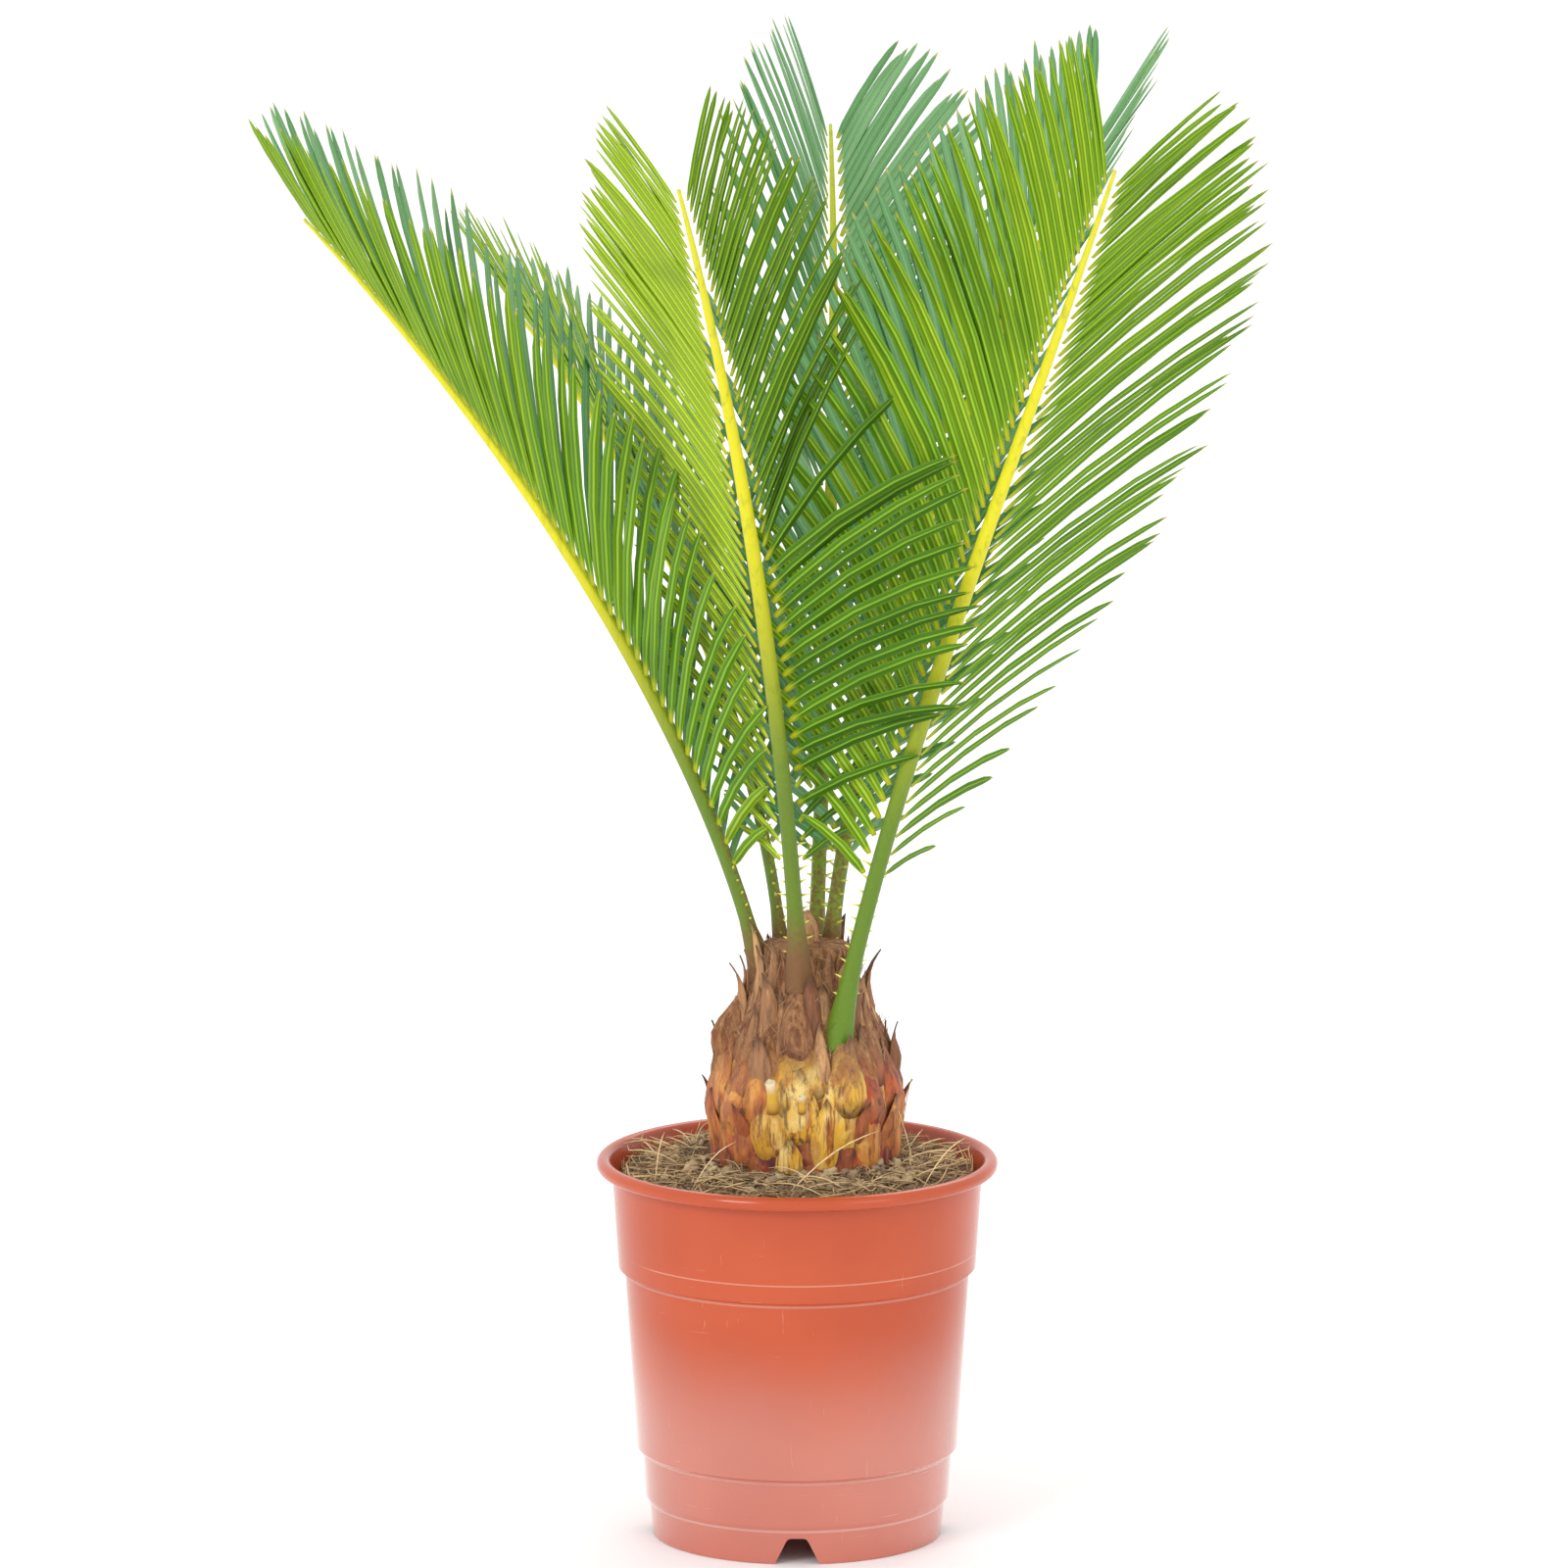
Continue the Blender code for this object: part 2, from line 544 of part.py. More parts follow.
def make_scale(name, angle, ring):
    """A pointed scale leaf that lies on the caudex and turns out at its tip."""
    sections = 5
    bm = bmesh.new()
    rows = []
    aside = Vector((-math.sin(angle), math.cos(angle), 0))
    for number in range(sections):
        reach = number / sections
        share = ring["foot"] + reach * ring["length"] / CAUDEX_HEIGHT
        place, outward = on_caudex(angle, min(share, 1), 3 * GAP + ring["flare"] * reach ** 2)
        place.z = SOIL_LINE + share * CAUDEX_HEIGHT
        half = aside * ring["width"] / 2 * (1 - reach ** 1.6)
        crest = outward * SCALE_THICKNESS * (1 - 0.5 * reach)
        rows.append([bm.verts.new(corner) for corner in (place + half, place - half, place + crest)])
    share = ring["foot"] + ring["length"] / CAUDEX_HEIGHT
    place, outward = on_caudex(angle, min(share, 1), 3 * GAP + 1.4 * ring["flare"])
    place.z = SOIL_LINE + share * CAUDEX_HEIGHT
    tip = bm.verts.new(place)
    bm.faces.new(rows[0])
    for lower, upper in zip(rows, rows[1:]):
        for side in range(3):
            after = (side + 1) % 3
            bm.faces.new((lower[side], lower[after], upper[after], upper[side]))
    for side in range(3):
        bm.faces.new((rows[-1][side], rows[-1][(side + 1) % 3], tip))
    bmesh.ops.recalc_face_normals(bm, faces=bm.faces)
    finish_mesh(name, bm, DRY_SCALE)


def make_scales():
    number = 0
    for ring in SCALE_RINGS:
        for place in range(ring["count"]):
            number += 1
            angle = math.radians(ring["turn"] + 360 * place / ring["count"])
            make_scale(f"scale_{number:02d}", angle, ring)


def make_stubs():
    """Short cut leaf bases that stand out of the caudex."""
    for number, stub in enumerate(STUBS, 1):
        radius = stub["radius"]
        foot, outward = on_caudex(math.radians(stub["angle"]), stub["foot"], 2 * GAP + 0.8 * radius)
        along = (outward + UP * STUB_RISE).normalized()
        turn = along.to_track_quat("Z", "Y").to_matrix().to_4x4()
        bm = bmesh.new()
        bmesh.ops.create_cone(
            bm, cap_ends=True, segments=10, radius1=radius, radius2=0.75 * radius, depth=stub["length"],
            matrix=Matrix.Translation(foot + along * stub["length"] / 2) @ turn,
        )
        finish_mesh(f"leaf_stub_{number}", bm, CUT_STUB)


def make_bud():
    """The pointed bud of new leaves in the middle of the crown."""
    foot = SOIL_LINE + CAUDEX_HEIGHT + 0.005 + GAP
    profile = [(0, foot)]
    for step in range(6):
        share = step / 6
        profile.append((BUD_RADIUS * (1 - share ** 1.8), foot + BUD_HEIGHT * share))
    profile.append((0, foot + BUD_HEIGHT))
    bud = turned(profile, 12, CAUDEX_CENTRE + Vector((0, -0.002, 0)))
    finish_mesh("crown_bud", bud, DRY_SCALE)


make_pot()
make_soil()
make_stalks()
make_scales()
make_stubs()
make_bud()
make_rows()
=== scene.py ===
import random
from math import atan2, cos, degrees, exp, hypot, pi, radians, sin, sqrt, tau

import bmesh
import bpy
import numpy as np
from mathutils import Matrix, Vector, noise


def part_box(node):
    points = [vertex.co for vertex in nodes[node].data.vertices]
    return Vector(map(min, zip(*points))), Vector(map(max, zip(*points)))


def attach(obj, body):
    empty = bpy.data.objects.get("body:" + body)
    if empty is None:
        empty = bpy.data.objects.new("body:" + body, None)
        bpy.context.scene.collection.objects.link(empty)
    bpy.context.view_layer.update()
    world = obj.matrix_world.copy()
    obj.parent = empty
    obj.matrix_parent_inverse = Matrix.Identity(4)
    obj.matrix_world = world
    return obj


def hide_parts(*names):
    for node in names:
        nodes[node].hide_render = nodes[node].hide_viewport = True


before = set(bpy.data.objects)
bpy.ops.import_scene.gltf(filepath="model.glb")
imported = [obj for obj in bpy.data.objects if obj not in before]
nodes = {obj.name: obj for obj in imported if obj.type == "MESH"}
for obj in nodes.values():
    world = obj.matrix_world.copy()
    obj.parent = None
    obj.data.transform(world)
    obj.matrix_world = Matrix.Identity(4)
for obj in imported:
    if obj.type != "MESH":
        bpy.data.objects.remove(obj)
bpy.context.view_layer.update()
boxes = {name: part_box(name) for name in nodes}
up = Vector((0, 0, 1))
chance = random.Random(7)
fronds = ("right", "front", "left", "back", "back_right", "back_left")


# Small helpers for modelling

def deselectAll():
    if bpy.context.mode != "OBJECT":
        bpy.ops.object.mode_set(mode="OBJECT")
    bpy.ops.object.select_all(action="DESELECT")


def activate(piece):
    deselectAll()
    piece.select_set(True)
    bpy.context.view_layer.objects.active = piece


def edit(piece):
    activate(piece)
    bpy.ops.object.mode_set(mode="EDIT")
    bpy.ops.mesh.select_mode(type="VERT")
    bpy.ops.mesh.select_all(action="DESELECT")


def pick(kind, test):  # selects the vertices, edges or faces of the edited mesh that pass the test
    mesh = bpy.context.edit_object.data
    bm = bmesh.from_edit_mesh(mesh)
    bpy.ops.mesh.select_mode(type={"verts": "VERT", "edges": "EDGE", "faces": "FACE"}[kind])
    bpy.ops.mesh.select_all(action="DESELECT")
    for item in getattr(bm, kind):
        item.select = test(item)
    bm.select_flush_mode()
    bmesh.update_edit_mesh(mesh)


def applyAll(piece):
    activate(piece)
    for modifier in list(piece.modifiers):
        bpy.ops.object.modifier_apply(modifier=modifier.name)


def settle(piece):  # the place, turn and size go into the mesh
    activate(piece)
    bpy.ops.object.transform_apply(location=True, rotation=True, scale=True)


def disc(sides, radius=1, place=(0, 0, 0)):  # left in edit mode, selected all over
    deselectAll()
    bpy.ops.mesh.primitive_circle_add(vertices=sides, radius=radius, fill_type="NGON", location=place)
    piece = bpy.context.object
    settle(piece)
    edit(piece)
    bpy.ops.mesh.select_all(action="SELECT")
    return piece


def extrude(x, y, z):
    bpy.ops.mesh.extrude_region_move(TRANSFORM_OT_translate={"value": (x, y, z)})


def resize(x, y, z, centre=(0, 0, 0)):
    bpy.ops.transform.resize(value=(x, y, z), center_override=centre)


def endEdit(pointed=False):  # the last ring closes to a point where asked, and faces turn outwards
    if pointed:
        bpy.ops.mesh.merge(type="CENTER")
    bpy.ops.mesh.select_all(action="SELECT")
    bpy.ops.mesh.normals_make_consistent(inside=False)
    bpy.ops.object.mode_set(mode="OBJECT")


def copyOf(piece):
    twin = piece.copy()
    twin.data = piece.data.copy()
    bpy.context.scene.collection.objects.link(twin)
    return twin


def joined(pieces, name):
    deselectAll()
    for piece in pieces:
        piece.select_set(True)
    bpy.context.view_layer.objects.active = pieces[0]
    if len(pieces) > 1:
        bpy.ops.object.join()
    pieces[0].name = name
    pieces[0].data.name = name
    return pieces[0]


def places(mesh):
    flat = np.empty(3 * len(mesh.vertices))
    mesh.vertices.foreach_get("co", flat)
    return flat.reshape(-1, 3)


def movePoints(mesh, points):
    mesh.vertices.foreach_set("co", np.asarray(points, float).ravel())
    mesh.update()


def paint(mesh, name, values):  # values: one colour for each vertex, or one for all of them
    layer = mesh.color_attributes.get(name) or mesh.color_attributes.new(name, "FLOAT_COLOR", "POINT")
    colours = np.ones((len(mesh.vertices), 4))
    colours[:, :3] = values
    layer.data.foreach_set("color", colours.ravel())


def bent(model, points, growth):  # a painted copy of the model with its vertices at the points
    twin = copyOf(model)
    movePoints(twin.data, points)
    paint(twin.data, "growth", growth)
    return twin


def towards(angle):
    return Vector((cos(angle), sin(angle), 0))


def around(centre, spot):  # the angle and the distance of a spot about an upright axis
    return atan2(spot.y - centre.y, spot.x - centre.x), hypot(spot.x - centre.x, spot.y - centre.y)


def finishPiece(piece, finish, slotName, *replaced, smooth=None):
    piece.data.materials.clear()
    piece.data.materials.append(finish)
    activate(piece)
    if smooth is None:
        bpy.ops.object.shade_smooth()
    else:
        bpy.ops.object.shade_smooth_by_angle(angle=radians(smooth))
    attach(piece, "root")
    if replaced:
        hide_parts(*replaced)


# Small helpers for materials

class Value:  # wraps a node's output, so that shader maths can be written as sums
    def __init__(self, finish, socket):
        self.finish = finish
        self.socket = socket

    def maths(self, operation, other, swap=False):
        pair = (other, self) if swap else (self, other)
        return self.finish.add("Math", {"operation": operation}, *pair)

    def __add__(self, other):
        return self.maths("ADD", other)

    def __sub__(self, other):
        return self.maths("SUBTRACT", other)

    def __rsub__(self, other):
        return self.maths("SUBTRACT", other, True)

    def __mul__(self, other):
        return self.maths("MULTIPLY", other)

    def __gt__(self, other):
        return self.maths("GREATER_THAN", other)

    def __lt__(self, other):
        return self.maths("LESS_THAN", other)

    __radd__ = __add__
    __rmul__ = __mul__

    def band(self, low, high):  # 0 below low, 1 above high
        return self.finish.add(
            "MapRange", {"clamp": True, "interpolation_type": "SMOOTHSTEP"}, self, low, high, 0.0, 1.0)


class Finish:  # one material and its nodes
    def __init__(self, name, **sockets):
        self.material = bpy.data.materials.new(name)
        self.material.use_nodes = True
        self.tree = self.material.node_tree
        self.shader = self.tree.nodes["Principled BSDF"]
        for socket, value in sockets.items():
            self.shader.inputs[socket.replace("_", " ")].default_value = value

    def add(self, kind, settings, *inputs, out=0, **named):
        node = self.tree.nodes.new("ShaderNode" + kind)
        for setting, value in settings.items():
            setattr(node, setting, value)
        for socket, value in zip(node.inputs, inputs):
            self.feed(socket, value)
        for socket, value in named.items():
            self.feed(node.inputs[socket], value)
        return Value(self, node.outputs[out])

    def feed(self, socket, value):
        if isinstance(value, Value):
            self.tree.links.new(value.socket, socket)
        elif isinstance(value, tuple) and len(value) == 3 and socket.type == "RGBA":
            socket.default_value = (*value, 1)
        elif value is not None:
            socket.default_value = value

    def set(self, socket, value):
        self.feed(self.shader.inputs[socket], value)

    def place(self):
        return self.add("TexCoord", {}, out=3)

    def speckle(self, size, detail=3.0, rough=0.55, squeeze=None, warp=0.0):  # noise of about that size in metres
        at = self.place()
        if squeeze:  # a factor under 1 draws the noise out along that axis
            at = self.add("VectorMath", {"operation": "MULTIPLY"}, at, squeeze)
        return self.add(
            "TexNoise", {}, Vector=at, Scale=1 / size, Detail=detail, Roughness=rough, Distortion=warp)

    def split(self, kind, value):
        return [Value(self, output) for output in self.add(kind, {}, value).socket.node.outputs]

    def painted(self, name):  # the three channels of a colour attribute
        return self.split("SeparateColor", self.add("Attribute", {"attribute_name": name}))

    def mix(self, share, first, second):
        node = self.tree.nodes.new("ShaderNodeMix")
        node.data_type = "RGBA"
        self.feed(node.inputs[0], share)
        self.feed(node.inputs[6], first)
        self.feed(node.inputs[7], second)
        return Value(self, node.outputs[2])

    def layers(self, colour, *coats):  # each coat is a share and a colour, laid over what is there
        for share, coat in coats:
            colour = self.mix(share, colour, coat)
        return colour

    def bump(self, height, depth, strength=1.0):
        self.set("Normal", self.add("Bump", {}, Strength=strength, Distance=depth, Height=height))


# Camera, floor and light come first

view = {"place": (-0.00556, -6.0, 1.4908), "down": 11.013, "lens": 333.27, "sensor": 36}


def makeCamera():
    bpy.ops.object.camera_add(location=view["place"], rotation=(radians(90 - view["down"]), 0, 0))
    camera = bpy.context.object
    camera.data.lens = view["lens"]
    camera.data.sensor_width = view["sensor"]
    camera.data.clip_end = 100
    bpy.context.scene.camera = camera


studio = {
    "floor": 24.0, "floorTone": (0.95, 0.95, 0.95), "world": 1.04, "aim": (0, 0, 0.33),
    "lamps": {
        "key": {"place": (-2.6, -3.4, 2.6), "size": 1.6, "power": 62},
        "fill": {"place": (3.0, -3.2, 1.5), "size": 2.0, "power": 18},
        "back": {"place": (0.4, 2.6, 3.0), "size": 2.4, "power": 34},
    },
}


def makeStudio():
    deselectAll()
    bpy.ops.mesh.primitive_plane_add(size=studio["floor"], location=(0, 0, 0))
    floor = bpy.context.object
    floor.name = "floor"
    finish = Finish("paleFloor", Roughness=0.9)
    finish.set("Base Color", studio["floorTone"])
    floor.data.materials.append(finish.material)
    for name, lamp in studio["lamps"].items():
        aim = Vector(studio["aim"]) - Vector(lamp["place"])
        bpy.ops.object.light_add(
            type="AREA", location=lamp["place"], rotation=aim.to_track_quat("-Z", "Y").to_euler())
        light = bpy.context.object
        light.name = name + "Light"
        light.data.shape = "SQUARE"
        light.data.size = lamp["size"]
        light.data.energy = lamp["power"]
    world = bpy.data.worlds.new("paleRoom")
    world.use_nodes = True
    colour, strength = list(world.node_tree.nodes["Background"].inputs)[:2]
    colour.default_value = (1, 1, 1, 1)
    strength.default_value = studio["world"]
    bpy.context.scene.world = world
    bpy.context.scene.view_settings.view_transform = "Standard"


print("camera, floor and light")
makeCamera()
makeStudio()


# Leaflets: one is modelled, then copied along the places that the frame's rows give

blade = {
    "section": (  # across and up, in half widths
        (-1, -0.14), (-0.22, -0.02), (0, -0.26), (0.22, -0.02), (1, -0.14), (0.5, 0.12), (0, 0.04), (-0.5, 0.12)),
    "stations": (  # place along the leaflet and width there, as shares
        (0.0, 0.42), (0.035, 0.62), (0.14, 0.97), (0.40, 1.0), (0.70, 0.96), (0.88, 0.76), (0.965, 0.36)),
    "widest": 0.0050, "narrowest": 0.0036, "fullLength": 0.070, "slimmest": 0.78,
    "bend": 0.45, "wander": 0.050, "shortest": 0.92, "twist": 18, "open": 0.7,
    # the last entry is the painted light and shade of a row not listed below
    "stray": 22, "neighbours": 5, "tipEdge": 0.005, "rowLight": 0.45,
}

paintedRowLight = {  # painted light and shade of each row's underside, by how the row faces the lamps: from deep green in shade at 0 to yellow-green lit through at 1
    ("front", "right"): 1.10, ("front", "left"): 0.0, ("right", "right"): 0.58, ("right", "left"): 0.35,
    ("left", "left"): 0.50, ("left", "right"): 0.30, ("back", "left"): 0.20, ("back", "right"): 0.45,
    ("back_left", "left"): 0.65, ("back_left", "right"): 0.40,
}


def merged(node):
    bm = bmesh.new()
    bm.from_mesh(nodes[node].data)
    bmesh.ops.remove_doubles(bm, verts=bm.verts, dist=1e-6)
    return bm


def readStalk(frond):  # centres and radii of the stalk's rings, from the foot up
    bm = merged(f"frond_{frond}_stem")
    ring = sorted(bm.verts, key=lambda vert: vert.co.z)[:6]
    seen = set(ring)
    rings = []
    while ring:
        middle = sum((vert.co for vert in ring), Vector()) / len(ring)
        rings.append((middle, sum((vert.co - middle).length for vert in ring) / len(ring)))
        ring = {edge.other_vert(vert) for vert in ring for edge in vert.link_edges} - seen
        seen |= ring
    bm.free()
    return rings


def readRow(node, stalk):  # every leaflet's root, middle, tip and blade directions, from the foot up
    bm = merged(node)
    leaflets = []
    for tip in bm.verts:
        if len(tip.link_edges) != 3 or min(edge.calc_length() for edge in tip.link_edges) < blade["tipEdge"]:
            continue
        sides = [edge.other_vert(tip) for edge in tip.link_edges]
        pairs = [(sides[i], sides[(i + 1) % 3], sides[(i + 2) % 3]) for i in range(3)]
        first, second, keel = max(pairs, key=lambda trio: (trio[0].co - trio[1].co).length)
        roots = {edge.other_vert(side) for side in sides for edge in side.link_edges} - set(sides) - {tip}
        root = sum((vert.co for vert in roots), Vector()) / len(roots)
        middle = (first.co + second.co) / 2
        near = min(range(len(stalk)), key=lambda i: (stalk[i][0] - root).length)
        along = stalk[min(near + 1, len(stalk) - 1)][0] - stalk[max(near - 1, 0)][0]
        across = first.co - second.co
        if across.dot(along) < 0:
            across = -across
        leaflets.append({
            "root": root, "middle": middle, "tip": tip.co.copy(), "across": across.normalized(),
            "above": (keel.co - middle).normalized(), "along": along.normalized(),
            "reach": (root - stalk[0][0]).length,
        })
    bm.free()
    leaflets.sort(key=lambda leaflet: leaflet["reach"])
    for number, leaflet in enumerate(leaflets):  # the gap to the next one decides how wide it may be
        beside = leaflets[number + 1 if number + 1 < len(leaflets) else number - 1]
        heading = (leaflet["tip"] - leaflet["root"]).normalized()
        gap = beside["middle"] - leaflet["middle"]
        gap = (gap - heading * gap.dot(heading)).length
        length = (leaflet["tip"] - leaflet["root"]).length
        slim = min(1, blade["slimmest"] + (1 - blade["slimmest"]) * length / blade["fullLength"])
        leaflet["width"] = min(blade["widest"], max(blade["narrowest"], gap)) * slim
    straighten(leaflets)
    return leaflets


def straighten(leaflets):  # turns a leaflet that stands apart back among its neighbours
    ways = [(leaflet["tip"] - leaflet["root"]).normalized() for leaflet in leaflets]
    for number, leaflet in enumerate(leaflets):
        first, last = max(0, number - blade["neighbours"]), min(len(ways), number + blade["neighbours"] + 1)
        near = [ways[i] for i in range(first, last) if i != number]
        usual = min(near, key=lambda way: sum(way.angle(other) for other in near))
        if ways[number].angle(usual) > radians(blade["stray"]):
            turn = ways[number].rotation_difference(usual)
            for part in ("middle", "tip"):
                leaflet[part] = leaflet["root"] + turn @ (leaflet[part] - leaflet["root"])
            leaflet["across"] = turn @ leaflet["across"]
            leaflet["above"] = turn @ leaflet["above"]


def makeBlade():  # one leaflet of unit length along X, unit half width along Y
    section, stations = blade["section"], blade["stations"]
    leaflet = disc(len(section))
    bm = bmesh.from_edit_mesh(leaflet.data)
    for vert, (across, high) in zip(bm.verts, section):
        vert.co = (0, across * stations[0][1], high * stations[0][1])
    bmesh.update_edit_mesh(leaflet.data)
    for (start, width), (end, nextWidth) in zip(stations, stations[1:]):
        extrude(end - start, 0, 0)
        resize(1, nextWidth / width, nextWidth / width, centre=(end, 0, 0))
    extrude(1 - end, 0, 0)
    endEdit(pointed=True)
    layer = leaflet.data.uv_layers.new(name="blade")
    points = places(leaflet.data)
    for face in leaflet.data.polygons:  # the lower side takes the lower half of the map, the upper side the upper
        for loop in face.loop_indices:
            reach, aside, _ = points[leaflet.data.loops[loop].vertex_index]
            wide = max(0.2, np.interp(reach, *zip(*stations, (1, 0.2))))
            across = max(-1, min(1, aside / wide))
            layer.data[loop].uv = (reach, (0.75 if face.normal.z > 0 else 0.25) + 0.24 * across)
    return leaflet


def placeBlade(model, base, leaflet, tone, growth):  # one copy of the model, bent along its own curve
    bend = blade["bend"]
    root, middle, tip = leaflet["root"], leaflet["middle"], leaflet["tip"]
    length = (middle - root).length + (tip - middle).length
    wander = leaflet["along"] * tone[0] * blade["wander"] * length
    wander += leaflet["above"] * tone[1] * blade["wander"] * 0.7 * length
    tip = root + (tip + wander - root) * (1 - (1 - blade["shortest"]) * tone[2])
    middle = middle + wander * 0.35
    pull = (middle - root * (1 - bend) ** 2 - tip * bend ** 2) / (2 * bend * (1 - bend))
    half = leaflet["width"] / 2
    twist = radians(blade["twist"]) * tone[3]
    line = (tip - root).normalized()
    lengthwise = (leaflet["along"] - line * leaflet["along"].dot(line)).normalized()
    flat = leaflet["across"].lerp(lengthwise, blade["open"])
    points = np.empty_like(base)
    for number, (reach, across, high) in enumerate(base):
        spot = root * (1 - reach) ** 2 + pull * 2 * reach * (1 - reach) + tip * reach ** 2
        heading = ((pull - root) * (1 - reach) + (tip - pull) * reach).normalized()
        aside = (flat - heading * flat.dot(heading)).normalized()
        above = heading.cross(aside)
        if above.dot(leaflet["above"]) < 0:
            above = -above
        turn = twist * reach
        wide, tall = across * half, high * half
        points[number] = spot + aside * (wide * cos(turn) - tall * sin(turn)) + above * (
            wide * sin(turn) + tall * cos(turn))
    return bent(model, points, growth)


def makeRow(frond, side, model, stalk, finish):
    node = f"frond_{frond}_leaflets_{side}"
    leaflets = readRow(node, stalk)
    base = places(model.data)
    copies = []
    order = fronds.index(frond)
    for number, leaflet in enumerate(leaflets):
        sway = noise.noise(Vector((number * 0.31, 0, order * 5.1 + (side == "left"))))
        clump = noise.noise(Vector((number * 0.62, 7.3, order * 3.7 + 2 * (side == "left"))))
        tone = (1.5 * clump + sway + chance.uniform(-0.4, 0.4), clump + chance.uniform(-0.7, 0.7), chance.random(),
                chance.uniform(-1, 1))
        # the second channel, the place up the frond, carries painted shade on the lower leaflets; the third is the
        # row's painted light and shade
        growth = (chance.random(), number / (len(leaflets) - 1), paintedRowLight.get((frond, side), blade["rowLight"]))
        copies.append(placeBlade(model, base, leaflet, tone, growth))
    row = joined(copies, "leaflets" + frond.title().replace("_", "") + side.title())
    finishPiece(row, finish, "leaflet_green", node)
    return leaflets


def leafletFinish():
    finish = Finish("leafletGreen", Specular_IOR_Level=0.25)
    reach, across, _ = finish.split("SeparateXYZ", finish.add("UVMap", {"uv_map": "blade"}))
    tone, station, rowLight = finish.painted("growth")
    upper = across > 0.5
    aside = finish.add("Math", {"operation": "ABSOLUTE"}, (across - 0.25 - upper * 0.5) * 4.17)  # 0 midrib, 1 edge
    rib = 1 - aside.band(0.08, 0.22)
    margin = aside.band(0.78, 0.99)
    flank = aside.band(0.14, 0.30) * (1 - aside.band(0.45, 0.85))
    grain = finish.speckle(0.006, 4.0, 0.6)
    patch = finish.speckle(0.05, 2.0)
    # painted light and shade: the underside runs from deep green in shade to yellow-green lit through, by its
    # row's painted light and by random tone
    light = rowLight * 0.8 + tone * 0.30 + 0.02
    # the underside is also painted lighter from the frond's foot to its end, a painted shade on the lower leaflets
    under = finish.layers(
        (0.050, 0.165, 0.003), (light.band(0.0, 0.55), (0.185, 0.415, 0.004)),
        (light.band(0.45, 1.0), (0.600, 0.800, 0.020)), (station.band(0.2, 1.0) * 0.42, (0.42, 0.66, 0.012)),
        (flank * 0.70, (0.028, 0.125, 0.002)), (rib * 0.65, (0.36, 0.55, 0.035)),
        (margin * 0.40, (0.30, 0.48, 0.05)))
    # the upper side: its own dark green painted paler blue-green, a painted reflection of the studio light, with
    # random tone
    over = finish.layers(
        (0.120, 0.340, 0.110), (tone, (0.330, 0.580, 0.280)), (flank * 0.45, (0.050, 0.180, 0.050)),
        (rib * 0.6, (0.22, 0.40, 0.18)))
    finish.set("Base Color", finish.layers(
        under, (upper, over), (grain.band(0.60, 0.80) * 0.20, (0.30, 0.40, 0.05)),
        (patch.band(0.50, 0.72) * 0.30, (0.035, 0.130, 0.004)),
        ((1 - reach.band(0.0, 0.075)) * 0.9, (0.60, 0.62, 0.015)),
        (reach.band(0.955, 0.99) * 0.8, (0.66, 0.55, 0.08))))
    finish.set("Roughness", 0.40 + grain * 0.18)
    finish.bump(rib * 0.6 + grain * 0.12, 0.0004, 0.7)
    return finish.material


# Stalks

stem = {"sides": 12, "smooth": 4, "step": 0.01, "flatTop": 0.82, "swell": 0.55, "swellLength": 0.016}


def makeStalk(frond, rows, stalk, finish):
    right, left = rows["right"], rows["left"]
    spots = [Vector(spot) for spot, _ in stalk]
    girths = [girth for _, girth in stalk]
    aside = []
    for number, spot in enumerate(spots):
        nearRight = min(right, key=lambda leaflet: (leaflet["root"] - spot).length)["root"]
        nearLeft = min(left, key=lambda leaflet: (leaflet["root"] - spot).length)["root"]
        along = spots[min(number + 1, len(spots) - 1)] - spots[max(number - 1, 0)]
        way = nearRight - nearLeft
        aside.append((way - along * way.dot(along) / along.length_squared).normalized())
    fine = stem["smooth"]
    shares = np.linspace(0, len(spots) - 1, fine * (len(spots) - 1) + 1)
    curve = smoothPath(spots, shares)
    girth = np.interp(shares, range(len(spots)), girths)
    steps = [0.0] + [float(np.linalg.norm(b - a)) for a, b in zip(curve, curve[1:])]
    girth = girth * (1 + stem["swell"] * np.exp(-np.cumsum(steps) / stem["swellLength"]))
    sideways = smoothPath(aside, shares)
    piece = disc(stem["sides"], girth[0])
    for _ in shares[1:]:
        extrude(0, 0, stem["step"])
    bpy.ops.object.mode_set(mode="OBJECT")
    base = places(piece.data)
    points = np.empty_like(base)
    colours = np.empty_like(base)
    order = np.round(base[:, 2] / stem["step"]).astype(int)
    for number, (x, y, _) in enumerate(base):
        ring = order[number]
        along = Vector(curve[min(ring + 1, len(curve) - 1)]) - Vector(curve[max(ring - 1, 0)])
        along.normalize()
        beside = Vector(sideways[ring])
        beside = (beside - along * beside.dot(along)).normalized()
        above = beside.cross(along)
        angle = atan2(y, x)
        lift = sin(angle)
        reach = girth[ring] * (stem["flatTop"] if lift > 0 else 1)
        points[number] = Vector(curve[ring]) + beside * cos(angle) * girth[ring] + above * lift * reach
        colours[number] = (ring / (len(curve) - 1), 0.5 + 0.5 * lift, fronds.index(frond) / 5)
    movePoints(piece.data, points)
    paint(piece.data, "growth", colours)
    edit(piece)
    endEdit()
    piece.name = "stalk" + frond.title().replace("_", "")
    finishPiece(piece, finish, "leaf_stalk", f"frond_{frond}_stem")
    return curve, sideways, girth


def smoothPath(spots, shares):  # a smooth curve through the spots, read at shares counted in spots
    spots = [np.array(spot) for spot in spots]
    padded = [2 * spots[0] - spots[1], *spots, 2 * spots[-1] - spots[-2]]
    path = []
    for share in shares:
        first = min(int(share), len(spots) - 2)
        t = share - first
        a, b, c, d = padded[first:first + 4]
        square, cube = 2 * a - 5 * b + 4 * c - d, 3 * b - a - 3 * c + d
        path.append(0.5 * (2 * b + (c - a) * t + square * t ** 2 + cube * t ** 3))
    return path


